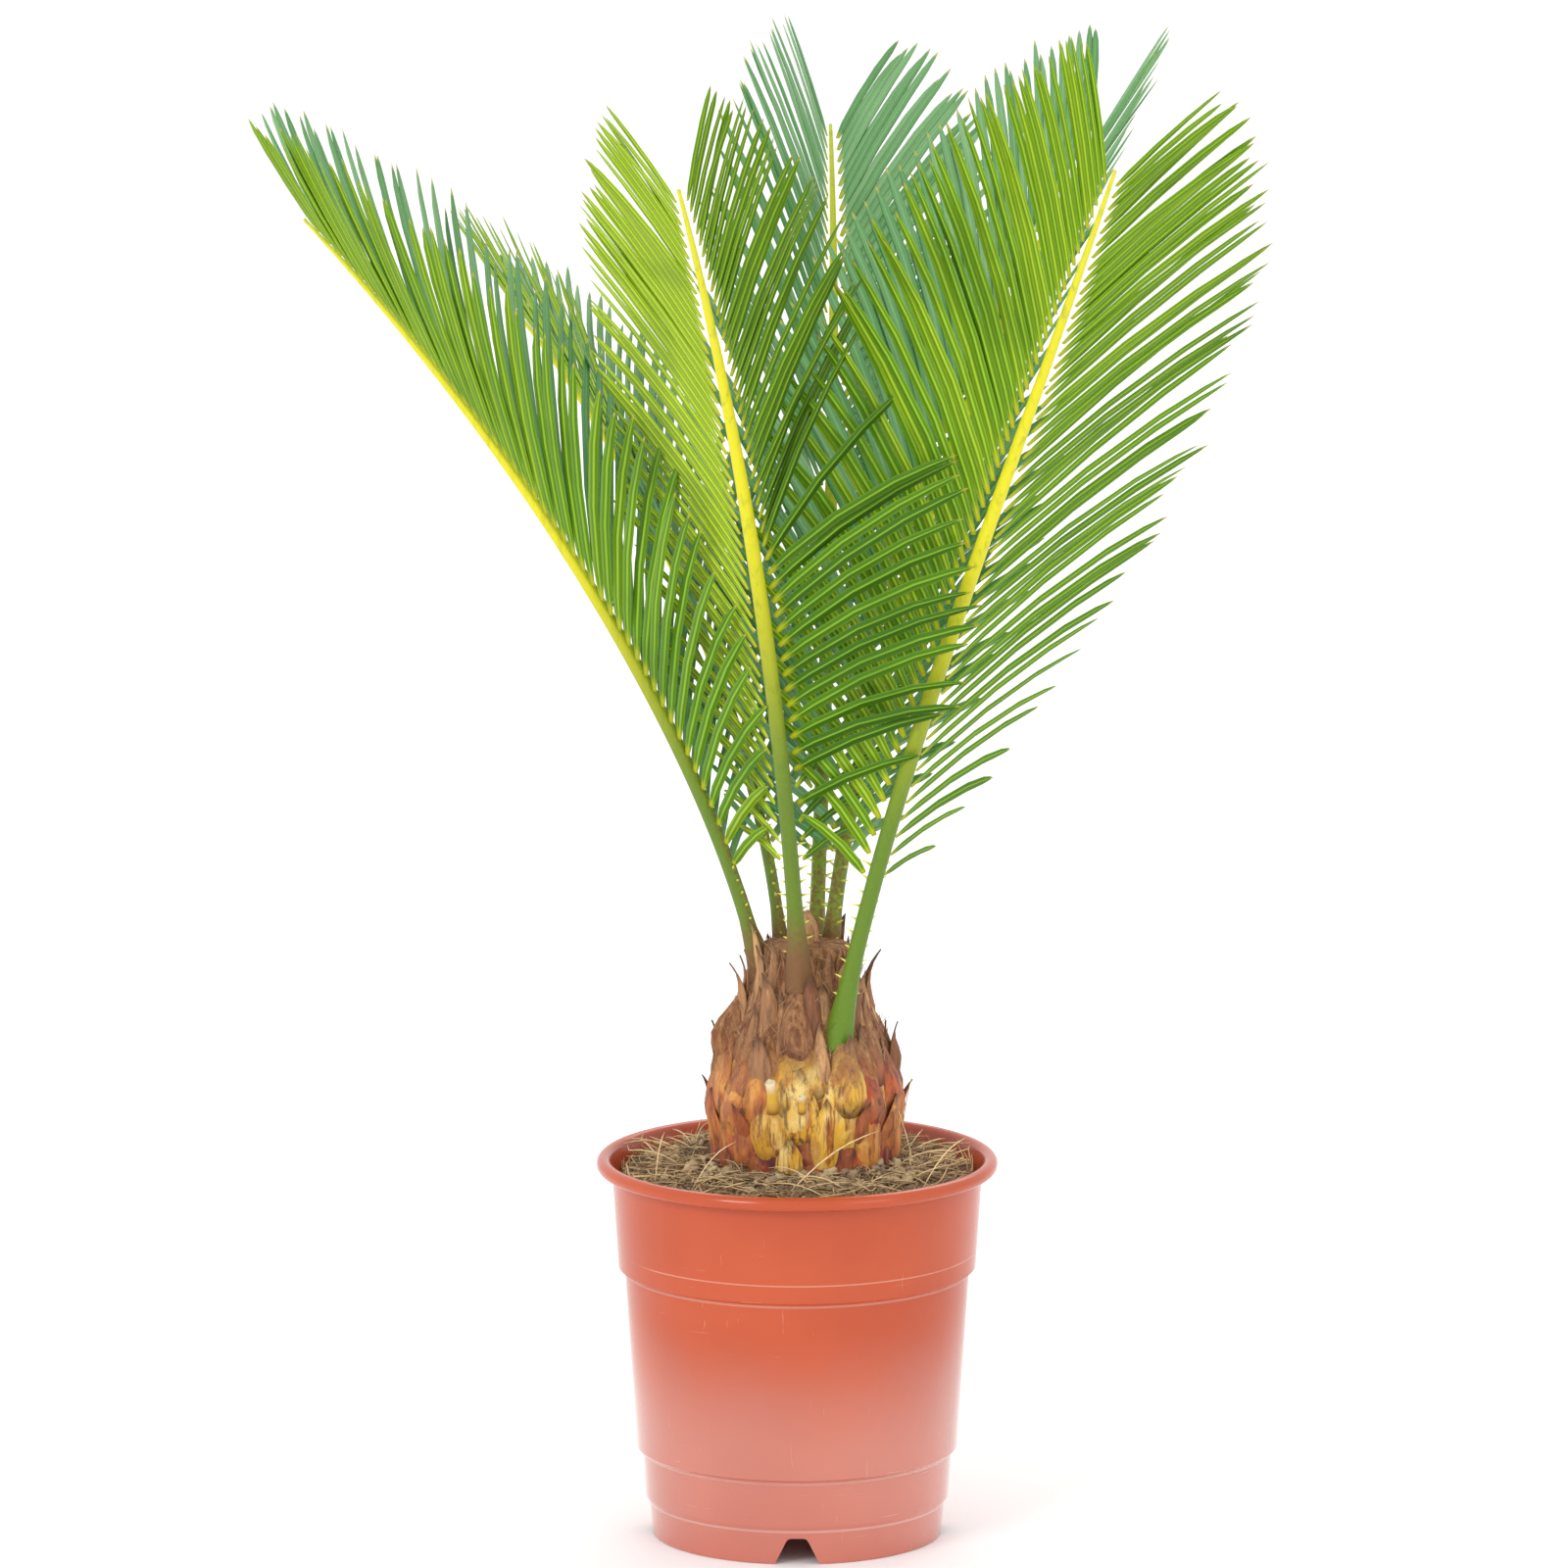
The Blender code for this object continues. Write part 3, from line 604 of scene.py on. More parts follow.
def stalkFinish():
    finish = Finish("leafStalk", Specular_IOR_Level=0.4)
    station, lift, frond = finish.painted("growth")
    grain = finish.speckle(0.0022, 5.0, 0.7)
    streak = finish.speckle(0.004, 3.0, 0.6, (1, 1, 0.12))
    fresh = frond < 0.1  # the right frond, which is green down to its foot
    low = 1 - station.band(0.035, 0.15)
    wool = (1 - station.band(0.10, 0.40)) * (0.25 + lift.band(0.35, 0.8) * 0.75) * grain.band(0.40, 0.60)
    wool = wool * (1 - fresh * 0.75)
    foot = low * (0.60 + grain * 0.7) * (1 - fresh * 0.9)
    finish.set("Base Color", finish.layers(
        (0.120, 0.225, 0.010), (station.band(0.20, 0.60), (0.74, 0.68, 0.006)),
        (station.band(0.70, 0.95) * 0.6, (0.66, 0.66, 0.03)), (lift.band(0.45, 0.75) * 0.45, (0.26, 0.40, 0.012)),
        (streak.band(0.5, 0.75) * 0.35, (0.075, 0.19, 0.006)), (wool, (0.19, 0.105, 0.030)),
        (foot.band(0.2, 0.85), (0.20, 0.095, 0.035))))
    finish.set("Roughness", 0.36 + grain * 0.25 + foot * 0.3)
    finish.bump(grain + streak * 0.6, 0.0006, 0.6)
    return finish.material


# Spines stand in two rows on the bare lower part of every stalk

spine = {
    "sides": 5, "gap": 0.0062, "length": 0.0044, "girth": 0.00105, "first": 0.016, "past": 0.006,
    "steps": ((0.35, 0.55), (0.75, 0.5)), "point": 0.5,  # rises and narrowings, and the point's height
}


def makeSpines(lines):
    model = disc(spine["sides"])
    for rise, width in spine["steps"]:
        extrude(0, 0, rise)
        resize(width, width, 1)
    extrude(0, 0, spine["point"])
    endEdit(pointed=True)
    base = places(model.data)
    tall = base[:, 2].max()
    spines = []
    for curve, sideways, girth, rows in lines:
        travelled = np.cumsum([0.0] + [float(np.linalg.norm(b - a)) for a, b in zip(curve, curve[1:])])
        for side, sign in (("right", 1), ("left", -1)):
            root = rows[side][0]["root"]
            end = travelled[min(range(len(curve)), key=lambda i: (Vector(curve[i]) - root).length)]
            reach = spine["first"] + chance.uniform(0, 0.004)
            while reach < end + spine["past"]:
                ring = min(max(int(np.searchsorted(travelled, reach)), 1), len(curve) - 2)
                along = (Vector(curve[ring + 1]) - Vector(curve[ring - 1])).normalized()
                beside = Vector(sideways[ring]) * sign
                beside = (beside - along * beside.dot(along)).normalized()
                above = (beside * sign).cross(along)
                way = beside + above * chance.uniform(0.0, 0.6) + along * chance.uniform(0.1, 0.5)
                turn = way.normalized().to_track_quat("Z", "Y").to_matrix()
                foot = Vector(curve[ring]) + (beside + above * 0.35).normalized() * girth[ring] * 0.75
                length = spine["length"] * chance.uniform(0.7, 1.25) * (0.7 + 0.5 * reach / end)
                points = [foot + turn @ Vector((x * spine["girth"], y * spine["girth"], z / tall * length))
                          for x, y, z in base]
                spines.append(bent(model, points, [(chance.random() * 0.3, z / tall, 0.5) for _, _, z in base]))
                reach += spine["gap"] * chance.uniform(0.8, 1.25)
    bpy.data.objects.remove(model)
    finish = Finish("stalkSpine", Roughness=0.5)
    _, rise, _ = finish.painted("growth")
    finish.set("Base Color", finish.layers(
        (0.40, 0.48, 0.030), (rise.band(0.1, 0.6), (0.80, 0.74, 0.14)),
        (rise.band(0.88, 1.0) * 0.7, (0.30, 0.17, 0.05))))
    finishPiece(joined(spines, "stalkSpines"), finish.material, "leaf_stalk")


print("fronds")
leafletGreen = leafletFinish()
leafStalk = stalkFinish()
bladeModel = makeBlade()
lines = []
for frond in fronds:
    stalk = readStalk(frond)
    rows = {side: makeRow(frond, side, bladeModel, stalk, leafletGreen) for side in ("left", "right")}
    lines.append((*makeStalk(frond, rows, stalk, leafStalk), rows))
bpy.data.objects.remove(bladeModel)
makeSpines(lines)


# Pot: an outline is extruded ring by ring, outside and inside, then the foot and the drains are cut

potShape = {
    "sides": 144, "wall": 0.0018, "rimDepth": 0.0062, "rimOverhang": 0.0066, "baseRadius": 0.0616,
    "steps": ((0.0140, 0.0015), (0.0355, 0.0023), (0.1135, 0.0026)), "rise": 0.0024, "edge": 0.0005,
    "floor": 0.0125, "ring": 0.0032, "pad": 0.016, "padSlope": 0.007, "centre": 0.0005,
    "notches": 4, "notchHeight": 0.0115, "notchWidth": 0.023, "notchTop": 0.008, "notchPast": 0.004,
    "notchRound": 0.0015, "drains": 8, "drainRadius": 0.004, "drainCircle": 0.041,
    # the first pair is the span of the painted highlight along each step, about the step's start
    "stepHighlightLine": (-0.0002, 0.0011), "mouldLine": (0.1232, 0.1238), "dirtLine": (0.0335, 0.0385),
}


def lathe(name, outline, sides, centre=(0, 0)):  # extrudes a disc through the outline's (radius, height) points
    radius, height = outline[0]
    piece = disc(sides, radius, (*centre, height))
    piece.name = name
    for nextRadius, nextHeight in outline[1:]:
        extrude(0, 0, nextHeight - height)
        resize(nextRadius / radius, nextRadius / radius, 1, centre=(*centre, nextHeight))
        radius, height = nextRadius, nextHeight
    endEdit()
    return piece


def potOutline():
    shape = potShape
    low, high = boxes["pot"]
    height, rim = high.z, (high.x - low.x) / 2
    foot, thick, rise, edge, tiny = (shape[key] for key in ("baseRadius", "wall", "rise", "edge", "centre"))
    lip = height - shape["rimDepth"]
    grown = sum(growth for _, growth in shape["steps"])
    taper = (rim - shape["rimOverhang"] - foot - grown) / lip

    def wall(level):
        passed = sum(growth * min(1, max(0, (level - start) / rise)) for start, growth in shape["steps"])
        return foot + taper * level + passed

    inside = foot - shape["ring"]
    outside = [(tiny, 0), (shape["pad"], 0), (shape["pad"] + shape["padSlope"], shape["floor"])]
    outside += [(inside, shape["floor"]), (inside, edge), (inside + edge, 0), (foot - edge, 0), (foot, edge)]
    for start, _ in shape["steps"]:
        outside += [(wall(level), level) for level in (start - edge, start, start + rise, start + rise + 2 * edge)]
    outside.append((wall(lip), lip))
    bead = shape["rimDepth"] / 2
    for turn in range(-80, 181, 20):
        angle = radians(turn)
        outside.append((rim - bead + bead * cos(angle), height - bead + bead * sin(angle)))
    back = [(wall(lip) - thick, lip - 0.001)]
    for start, _ in reversed(shape["steps"][1:]):
        back += [(wall(start + rise) - thick, start + rise), (wall(start) - thick, start)]
    floor = shape["floor"] + thick
    return outside + back + [(wall(floor) - thick, floor), (tiny, floor)]


def makePot():
    shape = potShape
    pot = lathe("potShell", potOutline(), shape["sides"])
    near, far = shape["baseRadius"] - 3 * shape["ring"], shape["baseRadius"] + shape["ring"]
    top, middle = shape["notchHeight"], shape["notchHeight"] / 2
    cutters = []
    for number in range(shape["notches"]):
        deselectAll()
        tall = top + shape["notchPast"]
        bpy.ops.mesh.primitive_cube_add(size=1, location=((near + far) / 2, 0, top - tall / 2))
        notch = bpy.context.object
        notch.scale = (far - near, shape["notchWidth"], tall)
        settle(notch)
        edit(notch)
        pick("verts", lambda vert: vert.co.z > middle)
        resize(1, shape["notchTop"] / shape["notchWidth"], 1)
        pick("edges", lambda edge: all(vert.co.z > middle for vert in edge.verts)
             and abs(edge.verts[0].co.y - edge.verts[1].co.y) < 1e-6)
        bpy.ops.mesh.bevel(offset=shape["notchRound"], segments=3)
        bpy.ops.object.mode_set(mode="OBJECT")
        notch.rotation_euler = (0, 0, tau * number / shape["notches"] - pi / 2)
        settle(notch)
        cutters.append(notch)
    for number in range(shape["drains"]):
        spot = towards(tau * (number + 0.5) / shape["drains"]) * shape["drainCircle"] + up * shape["floor"]
        deselectAll()
        bpy.ops.mesh.primitive_cylinder_add(vertices=24, radius=shape["drainRadius"], depth=0.01, location=spot)
        cutters.append(bpy.context.object)
        settle(cutters[-1])
    cutter = joined(cutters, "potCutter")
    boolean = pot.modifiers.new("cut", "BOOLEAN")
    boolean.object = cutter
    applyAll(pot)
    bpy.data.objects.remove(cutter)
    finishPiece(pot, plasticFinish(), "terracotta_plastic", "pot", smooth=32)


def plasticFinish():
    finish = Finish("terracottaPlastic", IOR=1.5, Coat_Roughness=0.08, Coat_IOR=2.3)
    level = finish.add("SeparateXYZ", {}, finish.place(), out=2)

    def belt(low, high):  # 1 between two heights
        return (level > low) * (level < high)

    grain = finish.speckle(0.0016, 4.0, 0.65)
    cloud = finish.speckle(0.06, 3.0, 0.5)
    lines = finish.speckle(0.0016, 2.0, 0.5, (0.045, 0.045, 1.0), 0.4)
    upright = finish.speckle(0.0015, 2.0, 0.5, (1.0, 1.0, 0.035), 0.5)
    nicks = finish.speckle(0.0021, 2.0, 0.5)
    dust = finish.speckle(0.0009, 3.0, 0.7)
    scratch = lines.band(0.70, 0.73) * cloud.band(0.50, 0.62) + upright.band(0.72, 0.75) * cloud.band(0.45, 0.6)
    below, above = potShape["stepHighlightLine"]
    stepHighlight = sum(belt(start + below, start + above) for start, _ in potShape["steps"])  # painted highlight: a pale line along the edge of each step
    ring = belt(*potShape["mouldLine"]) * cloud.band(0.40, 0.55)
    dirt = nicks.band(0.70, 0.74) * belt(*potShape["dirtLine"])
    finish.set("Base Color", finish.layers(
        (0.480, 0.066, 0.016), (cloud.band(0.35, 0.7), (0.530, 0.080, 0.022)),
        (scratch * 0.22, (0.72, 0.34, 0.24)), (stepHighlight * (0.25 + cloud * 0.35), (0.74, 0.42, 0.36)),
        (ring * 0.45, (0.74, 0.40, 0.30)),
        (dirt * 0.8, (0.13, 0.06, 0.04)), (dust.band(0.70, 0.78) * 0.25, (0.70, 0.42, 0.32))))
    finish.set("Roughness", 0.15 + grain * 0.08 + scratch * 0.25)
    finish.set("Coat Weight", (1 - (level + cloud * 0.03 - 0.015).band(0.045, 0.105)) * 0.9)
    finish.bump(lines * 0.4 + grain * 0.15, 0.0002, 0.35)
    return finish.material


# Soil: a heaped disc with coir strands and crumbs on it

soilShape = {
    "sides": 224, "ringGap": 0.0013, "innerRing": 0.030, "depth": 0.022, "rimGap": 0.0006,
    "heap": 0.010, "heapFoot": 0.035, "rough": 0.0034, "fine": 0.0016, "reach": 0.0742,
    "crumbs": 420, "crumbSize": (0.0006, 0.0014),
    "clods": 75, "clodSize": (0.0008, 0.0019), "clodRing": (0.041, 0.060), "clodSpread": 1.25,
    "strands": 1500, "strandRing": (0.045, 0.073), "straws": 150,  # straws are the first of the strands
    "straw": {"length": (0.016, 0.034), "girth": (0.00022, 0.00040), "curl": 12},
    "thin": {"length": (0.006, 0.019), "girth": (0.00013, 0.00028), "curl": 45},
    "longStraws": (  # start, end and half thickness
        ((0.034, -0.034, 0.181), (-0.004, -0.062, 0.160), 0.00042),
        ((0.052, -0.048, 0.158), (0.071, -0.020, 0.175), 0.00035),
        ((-0.045, -0.050, 0.158), (-0.026, -0.042, 0.178), 0.00030),
        ((-0.060, -0.036, 0.159), (-0.056, -0.018, 0.177), 0.00030),
        ((0.044, 0.000, 0.170), (0.049, -0.006, 0.200), 0.00022),
        ((0.050, -0.018, 0.160), (0.038, -0.014, 0.196), 0.00022)),
}


def soilHeight(radius):  # before it is roughened
    low, high = boxes["soil"]
    edge = high.z - soilShape["heap"]
    rim = (high.x - low.x) / 2
    share = min(1, max(0, (rim - radius) / (rim - soilShape["heapFoot"])))
    return edge + soilShape["heap"] * sin(pi / 2 * share) ** 1.4


def soilBumps(x, y):
    spot = Vector((x, y, 0))
    rough = noise.noise(spot * 75) + 0.6 * noise.noise(spot * 190 + Vector((3, 1, 7)))
    fine = noise.noise(spot * 620) + 0.7 * noise.noise(spot * 1300)
    return soilShape["rough"] * rough + soilShape["fine"] * fine


def makeSoil():
    low, high = boxes["soil"]
    rim = (high.x - low.x) / 2 - soilShape["rimGap"]
    foot = high.z - soilShape["depth"]
    outline = [(0.010, foot), (rim - 0.0030, foot), (rim - 0.0012, high.z - 0.015), (rim, high.z - 0.0115)]
    radius = rim - 0.0004
    while radius > soilShape["innerRing"]:
        outline.append((radius, soilHeight(radius)))
        radius -= soilShape["ringGap"]
    soil = lathe("soilBed", outline, soilShape["sides"])
    points = places(soil.data)
    for point in points:
        if point[2] > high.z - 0.0125:  # only the top is rough, less so close to the wall
            radius = hypot(point[0], point[1])
            point[2] += soilBumps(point[0], point[1]) * min(1, (rim + 0.0012 - radius) / 0.003)
    movePoints(soil.data, points)
    finishPiece(soil, soilFinish(), "coir_soil", "soil")


def soilFinish():
    finish = Finish("coirSoil", Roughness=0.95)
    grain = finish.speckle(0.0011, 5.0, 0.75)
    clod = finish.speckle(0.010, 3.0, 0.6)
    thread = finish.speckle(0.0012, 3.0, 0.6, (0.25, 1, 1), 1.5)
    finish.set("Base Color", finish.layers(
        (0.060, 0.032, 0.018), (grain.band(0.42, 0.68), (0.56, 0.37, 0.20)),
        (clod.band(0.54, 0.74) * 0.5, (0.030, 0.016, 0.009)), (thread.band(0.60, 0.70) * 0.7, (0.42, 0.29, 0.15))))
    finish.bump(grain + thread * 0.5, 0.0012, 0.9)
    return finish.material


def scatterSpot(inner, outer):  # an even random place on the soil between two radii
    angle = chance.uniform(0, tau)
    radius = sqrt(chance.uniform(inner ** 2, outer ** 2))
    return Vector((radius * cos(angle), radius * sin(angle), soilHeight(radius)))


def makeCrumbs():
    deselectAll()
    bpy.ops.mesh.primitive_ico_sphere_add(subdivisions=2, radius=1)
    model = bpy.context.object
    base = places(model.data)
    crumbs = []

    def addCrumb(size, stretch, rough, grain, seed, spot, lift, tone):
        seed = Vector(seed)
        lump = [point * stretch * (1 + rough * noise.noise(Vector(point) * grain + seed)) for point in base]
        crumbs.append(bent(model, np.array(lump) * size + np.array(spot) + np.array((0, 0, lift)), (tone, 0, 0)))

    for number in range(soilShape["crumbs"]):
        spot = scatterSpot(0.044, 0.074) if number % 3 else scatterSpot(0.050, 0.060)
        size = chance.uniform(*soilShape["crumbSize"]) * (2.2 if number % 7 == 0 else 1)
        stretch = np.array([chance.uniform(0.6, 1.3) for _ in range(3)])
        addCrumb(size, stretch, 0.45, 1.4, (number * 1.7, 0, 0), spot, size * 0.35 + 0.0004, chance.random())
    for number in range(soilShape["clods"]):  # bigger and paler lumps in front of the trunk
        angle = -pi / 2 + chance.uniform(-soilShape["clodSpread"], soilShape["clodSpread"])
        radius = chance.uniform(*soilShape["clodRing"])
        size = chance.uniform(*soilShape["clodSize"]) * (1.5 if number % 5 == 0 else 1)
        stretch = np.array([chance.uniform(0.7, 1.3), chance.uniform(0.7, 1.3), chance.uniform(0.5, 0.9)])
        spot = (radius * cos(angle), radius * sin(angle), soilHeight(radius) + 0.4 * size + 0.0005)
        addCrumb(size, stretch, 0.9, 1.9, (number * 2.3, 5, 0), spot, 0, 0.35 + 0.5 * chance.random())
    bpy.data.objects.remove(model)
    finish = Finish("soilCrumb", Roughness=0.95)
    tone, _, _ = finish.painted("growth")
    grain = finish.speckle(0.0008, 4.0, 0.7)
    finish.set("Base Color", finish.layers(
        (0.13, 0.070, 0.038), (tone.band(0.1, 0.95), (0.66, 0.49, 0.28)),
        (grain.band(0.35, 0.7) * 0.5, (0.42, 0.33, 0.21))))
    finish.bump(grain, 0.0006, 0.9)
    finishPiece(joined(crumbs, "soilCrumbs"), finish.material, "coir_soil")


def makeThread(sides, spans):  # a straight thread of unit length and unit radius, to be bent
    thread = disc(sides)
    for _ in range(spans):
        extrude(0, 0, 1 / spans)
    endEdit()
    return thread


def layThread(model, base, path, girth, tone):  # a copy that follows the path's points, thin at its ends
    spans = len(path) - 1
    points = np.empty_like(base)
    for number, (x, y, z) in enumerate(base):
        place = min(int(round(z * spans)), spans)
        along = (path[min(place + 1, spans)] - path[max(place - 1, 0)]).normalized()
        aside = along.cross(up if abs(along.z) < 0.9 else Vector((1, 0, 0))).normalized()
        thin = girth * (1 - 0.75 * abs(2 * z - 1) ** 3)
        points[number] = path[place] + (aside * x + along.cross(aside) * y) * thin
    return bent(model, points, (tone, 0, 0))


def makeStrands():
    spans, shape, edge = 6, soilShape, soilShape["reach"]
    model = makeThread(4, spans)
    base = places(model.data)
    strands = []
    for number in range(shape["strands"]):
        straw = number < shape["straws"]
        kind = shape["straw" if straw else "thin"]
        spot = scatterSpot(*shape["strandRing"])
        length = chance.uniform(*kind["length"])
        heading = chance.uniform(0, tau)
        curl = chance.uniform(-1, 1) * kind["curl"]
        lift = chance.uniform(0.05, 0.75) if straw and number % 2 else chance.uniform(-0.05, 0.40)
        path = []
        point = spot + up * 0.0006
        for step in range(spans + 1):
            path.append(point.copy())
            heading += curl * length / spans
            way = Vector((cos(heading), sin(heading), lift * (1 - step / 4))).normalized()
            point = point + way * length / spans
            radius = hypot(point.x, point.y)
            if radius > edge:  # it turns up the pot's wall
                point *= edge / radius
                point.z = path[-1].z + abs(path[-1].z - point.z) * 0.2
            point.z = max(point.z, soilHeight(min(radius, edge)) + soilBumps(point.x, point.y) + 0.0002)
        girth = chance.uniform(*kind["girth"])
        tone = 0.6 + 0.4 * chance.random() if straw else chance.random() * 0.8
        strands.append(layThread(model, base, path, girth, tone))
    for start, end, girth in shape["longStraws"]:
        start, end = Vector(start), Vector(end)
        path = [start.lerp(end, t / spans) + up * 0.004 * sin(pi * t / spans) for t in range(spans + 1)]
        strands.append(layThread(model, base, path, girth, 1.0))
    bpy.data.objects.remove(model)
    finishPiece(joined(strands, "coirStrands"), strawFinish(), "coir_soil")


def strawFinish():
    finish = Finish("coirStraw", Roughness=0.7)
    tone, _, _ = finish.painted("growth")
    grain = finish.speckle(0.002, 3.0, 0.6)
    finish.set("Base Color", finish.layers(
        (0.20, 0.100, 0.045), (tone, (0.86, 0.64, 0.33)), (grain.band(0.45, 0.75) * 0.4, (0.20, 0.11, 0.05))))
    return finish.material


# Trunk: a roughened core, fleshy leaf bases, dry scales, the bud, cut stubs and wool

trunk = {
    "sides": 96, "rings": 44, "shoulder": 0.22, "crownRadius": 0.0235, "usualRadius": 0.044, "coreTuck": 0.0016,
    "tuck": 0.0028, "footTuck": 0.012, "bases": 84, "goldenTurn": 137.5, "baseWidth": 0.0215, "baseHeight": 0.038,
    "baseThick": 0.0034, "sheathWidth": 0.0190, "sheathHeight": 0.043, "sheathThick": 0.0085,
    "scaleThick": 0.0030, "smallScales": 44, "smallThick": 0.0026, "lowScale": 0.2,
    "wool": 520, "woolLength": 0.0070, "woolDrop": 0.088,  # how far below the crown the wool is reckoned from
}


def trunkFrame():  # centre, soil line, height and greatest radius, all from the frame
    low, high = boxes["caudex"]
    soilLine = boxes["soil"][1].z
    middle = (low + high) / 2
    return Vector((middle.x, middle.y, 0)), soilLine, high.z - soilLine, (high.x - low.x) / 2


def trunkRadius(share):
    _, _, _, widest = trunkFrame()
    taper = min(1, max(0, (share - trunk["shoulder"]) / (1 - trunk["shoulder"])))
    crown = trunk["crownRadius"]
    return crown + (widest - crown) * (1 + cos(pi * taper)) / 2


def trunkSpot(angle, share, off):
    centre, soilLine, height, _ = trunkFrame()
    tuck = trunk["tuck"] + trunk["footTuck"] * max(0, 0.25 - share)
    return centre + towards(angle) * (trunkRadius(share) + off - tuck) + up * (soilLine + share * height)


def yellowness(angle, share):  # the fleshy yellow patch low at the front
    away = degrees(atan2(sin(angle + pi / 2), cos(angle + pi / 2)))
    return exp(-((away - 4) / 30) ** 2) * max(0, min(1, (0.46 - share) / 0.16))


def makeCore():
    centre, soilLine, height, _ = trunkFrame()
    outline = []
    for ring in range(trunk["rings"] + 1):
        share = -0.25 + 1.25 * ring / trunk["rings"]
        outline.append((trunkRadius(share) - trunk["coreTuck"] - trunk["tuck"], soilLine + share * height))
    crown = soilLine + height
    outline += [(trunk["crownRadius"] * 0.72, crown + 0.0028), (0.004, crown + 0.0035)]
    core = lathe("trunkCore", outline, trunk["sides"], centre[:2])
    points = places(core.data)
    colours = np.empty_like(points)
    for number, point in enumerate(points):
        share = (point[2] - soilLine) / height
        angle = atan2(point[1] - centre.y, point[0] - centre.x)
        swell = noise.noise(Vector((cos(angle) * 3.5, sin(angle) * 3.5, share * 2.2)))
        swell += 0.5 * noise.noise(Vector((cos(angle) * 9, sin(angle) * 9, share * 4)))
        point[:2] += np.array((cos(angle), sin(angle))) * 0.0014 * swell
        colours[number] = (0.42 + 0.3 * swell, 0.5, share)
    movePoints(core.data, points)
    paint(core.data, "growth", colours)
    return core


def makeBaseModel():  # a fleshy shield with a drawn-out tip; X across, Y up, Z outward, all about one unit
    deselectAll()
    bpy.ops.mesh.primitive_uv_sphere_add(segments=16, ring_count=12, radius=1, rotation=(pi / 2, 0, 0))
    model = bpy.context.object
    settle(model)
    points = places(model.data)
    for point in points:
        x, y, z = point
        reach = (y + 1) / 2
        wide = 0.5 * min(1, reach * 5) ** 0.5 * (1 - reach ** 2.4)
        belt = sqrt(max(1e-9, 1 - y * y))  # the sphere's own radius at this height
        across, high = (x / belt, z / belt) if belt > 0.02 else (0, 0)
        swell = 0.22 + 0.78 * max(0, sin(pi * min(1, reach * 1.25))) ** 0.8
        point[:] = (across * max(wide, 0.012), reach, (max(high, 0) ** 1.4 + 0.3 * min(high, 0)) * swell)
    movePoints(model.data, points)
    return model


def pressBase(model, base, angle, share, wide, tall, thick, tone, lean=0.0, flare=0.0):
    _, _, height, _ = trunkFrame()
    points = np.empty_like(base)
    colours = np.empty_like(base)
    radius = trunkRadius(share + 0.3 * tall / height) - trunk["tuck"]
    bias = yellowness(angle, share)
    for number, (x, y, z) in enumerate(base):
        level = share + y * tall / height
        turn = angle + (x * wide + lean * y * tall) / radius
        ridge = 0.25 * noise.noise(Vector((x * 11 + tone * 9, y * 1.5, tone * 5))) if z > 0 else 0
        bump = noise.noise(Vector((x * 2.2 + tone * 31, y * 2.6, tone * 17)))
        off = z * thick * (1 + 0.7 * bump + ridge) - 0.0030 * (1 - y) + flare * y ** 2.5 + 0.0002
        points[number] = trunkSpot(turn, level, off)
        colours[number] = (tone, y, bias)
    return bent(model, points, colours)


def makeBases():
    model = makeBaseModel()
    base = places(model.data)
    centre, soilLine, height, _ = trunkFrame()
    pieces = []
    for number in range(trunk["bases"]):
        share = -0.20 + 0.98 * (number / (trunk["bases"] - 1)) ** 0.92
        angle = radians(number * trunk["goldenTurn"] - 100)
        slim = trunkRadius(share) / trunk["usualRadius"]
        wide = trunk["baseWidth"] * slim ** 0.6 * chance.uniform(0.85, 1.1) * (1.0 if share < 0.45 else 0.75)
        tall = trunk["baseHeight"] * chance.uniform(0.85, 1.1) * (1 if share < 0.45 else 0.92)
        tall = min(tall, (1.04 - share) * height)
        thick = trunk["baseThick"] * chance.uniform(0.75, 1.1) * (1 if share < 0.4 else 0.6)
        pieces.append(pressBase(
            model, base, angle + chance.uniform(-0.05, 0.05), share, wide, tall, thick, chance.random(),
            chance.uniform(-0.12, 0.12), chance.uniform(0, 0.0015)))
    for number, (curve, *_) in enumerate(lines):  # a sheath hugs the foot of every stalk
        foot = Vector(curve[0])
        angle, out = around(centre, foot)
        share = (foot.z - soilLine - 0.030) / height
        reach = max(0.001, out + 0.006 - trunkRadius(min(1, share + 0.034 / height)))
        pieces.append(pressBase(
            model, base, angle, share, trunk["sheathWidth"], trunk["sheathHeight"], trunk["sheathThick"],
            0.35 + 0.1 * number, 0, reach))
    bpy.data.objects.remove(model)
    finishPiece(joined([makeCore(), *pieces], "trunk"), barkFinish(), "caudex_bark", "caudex")


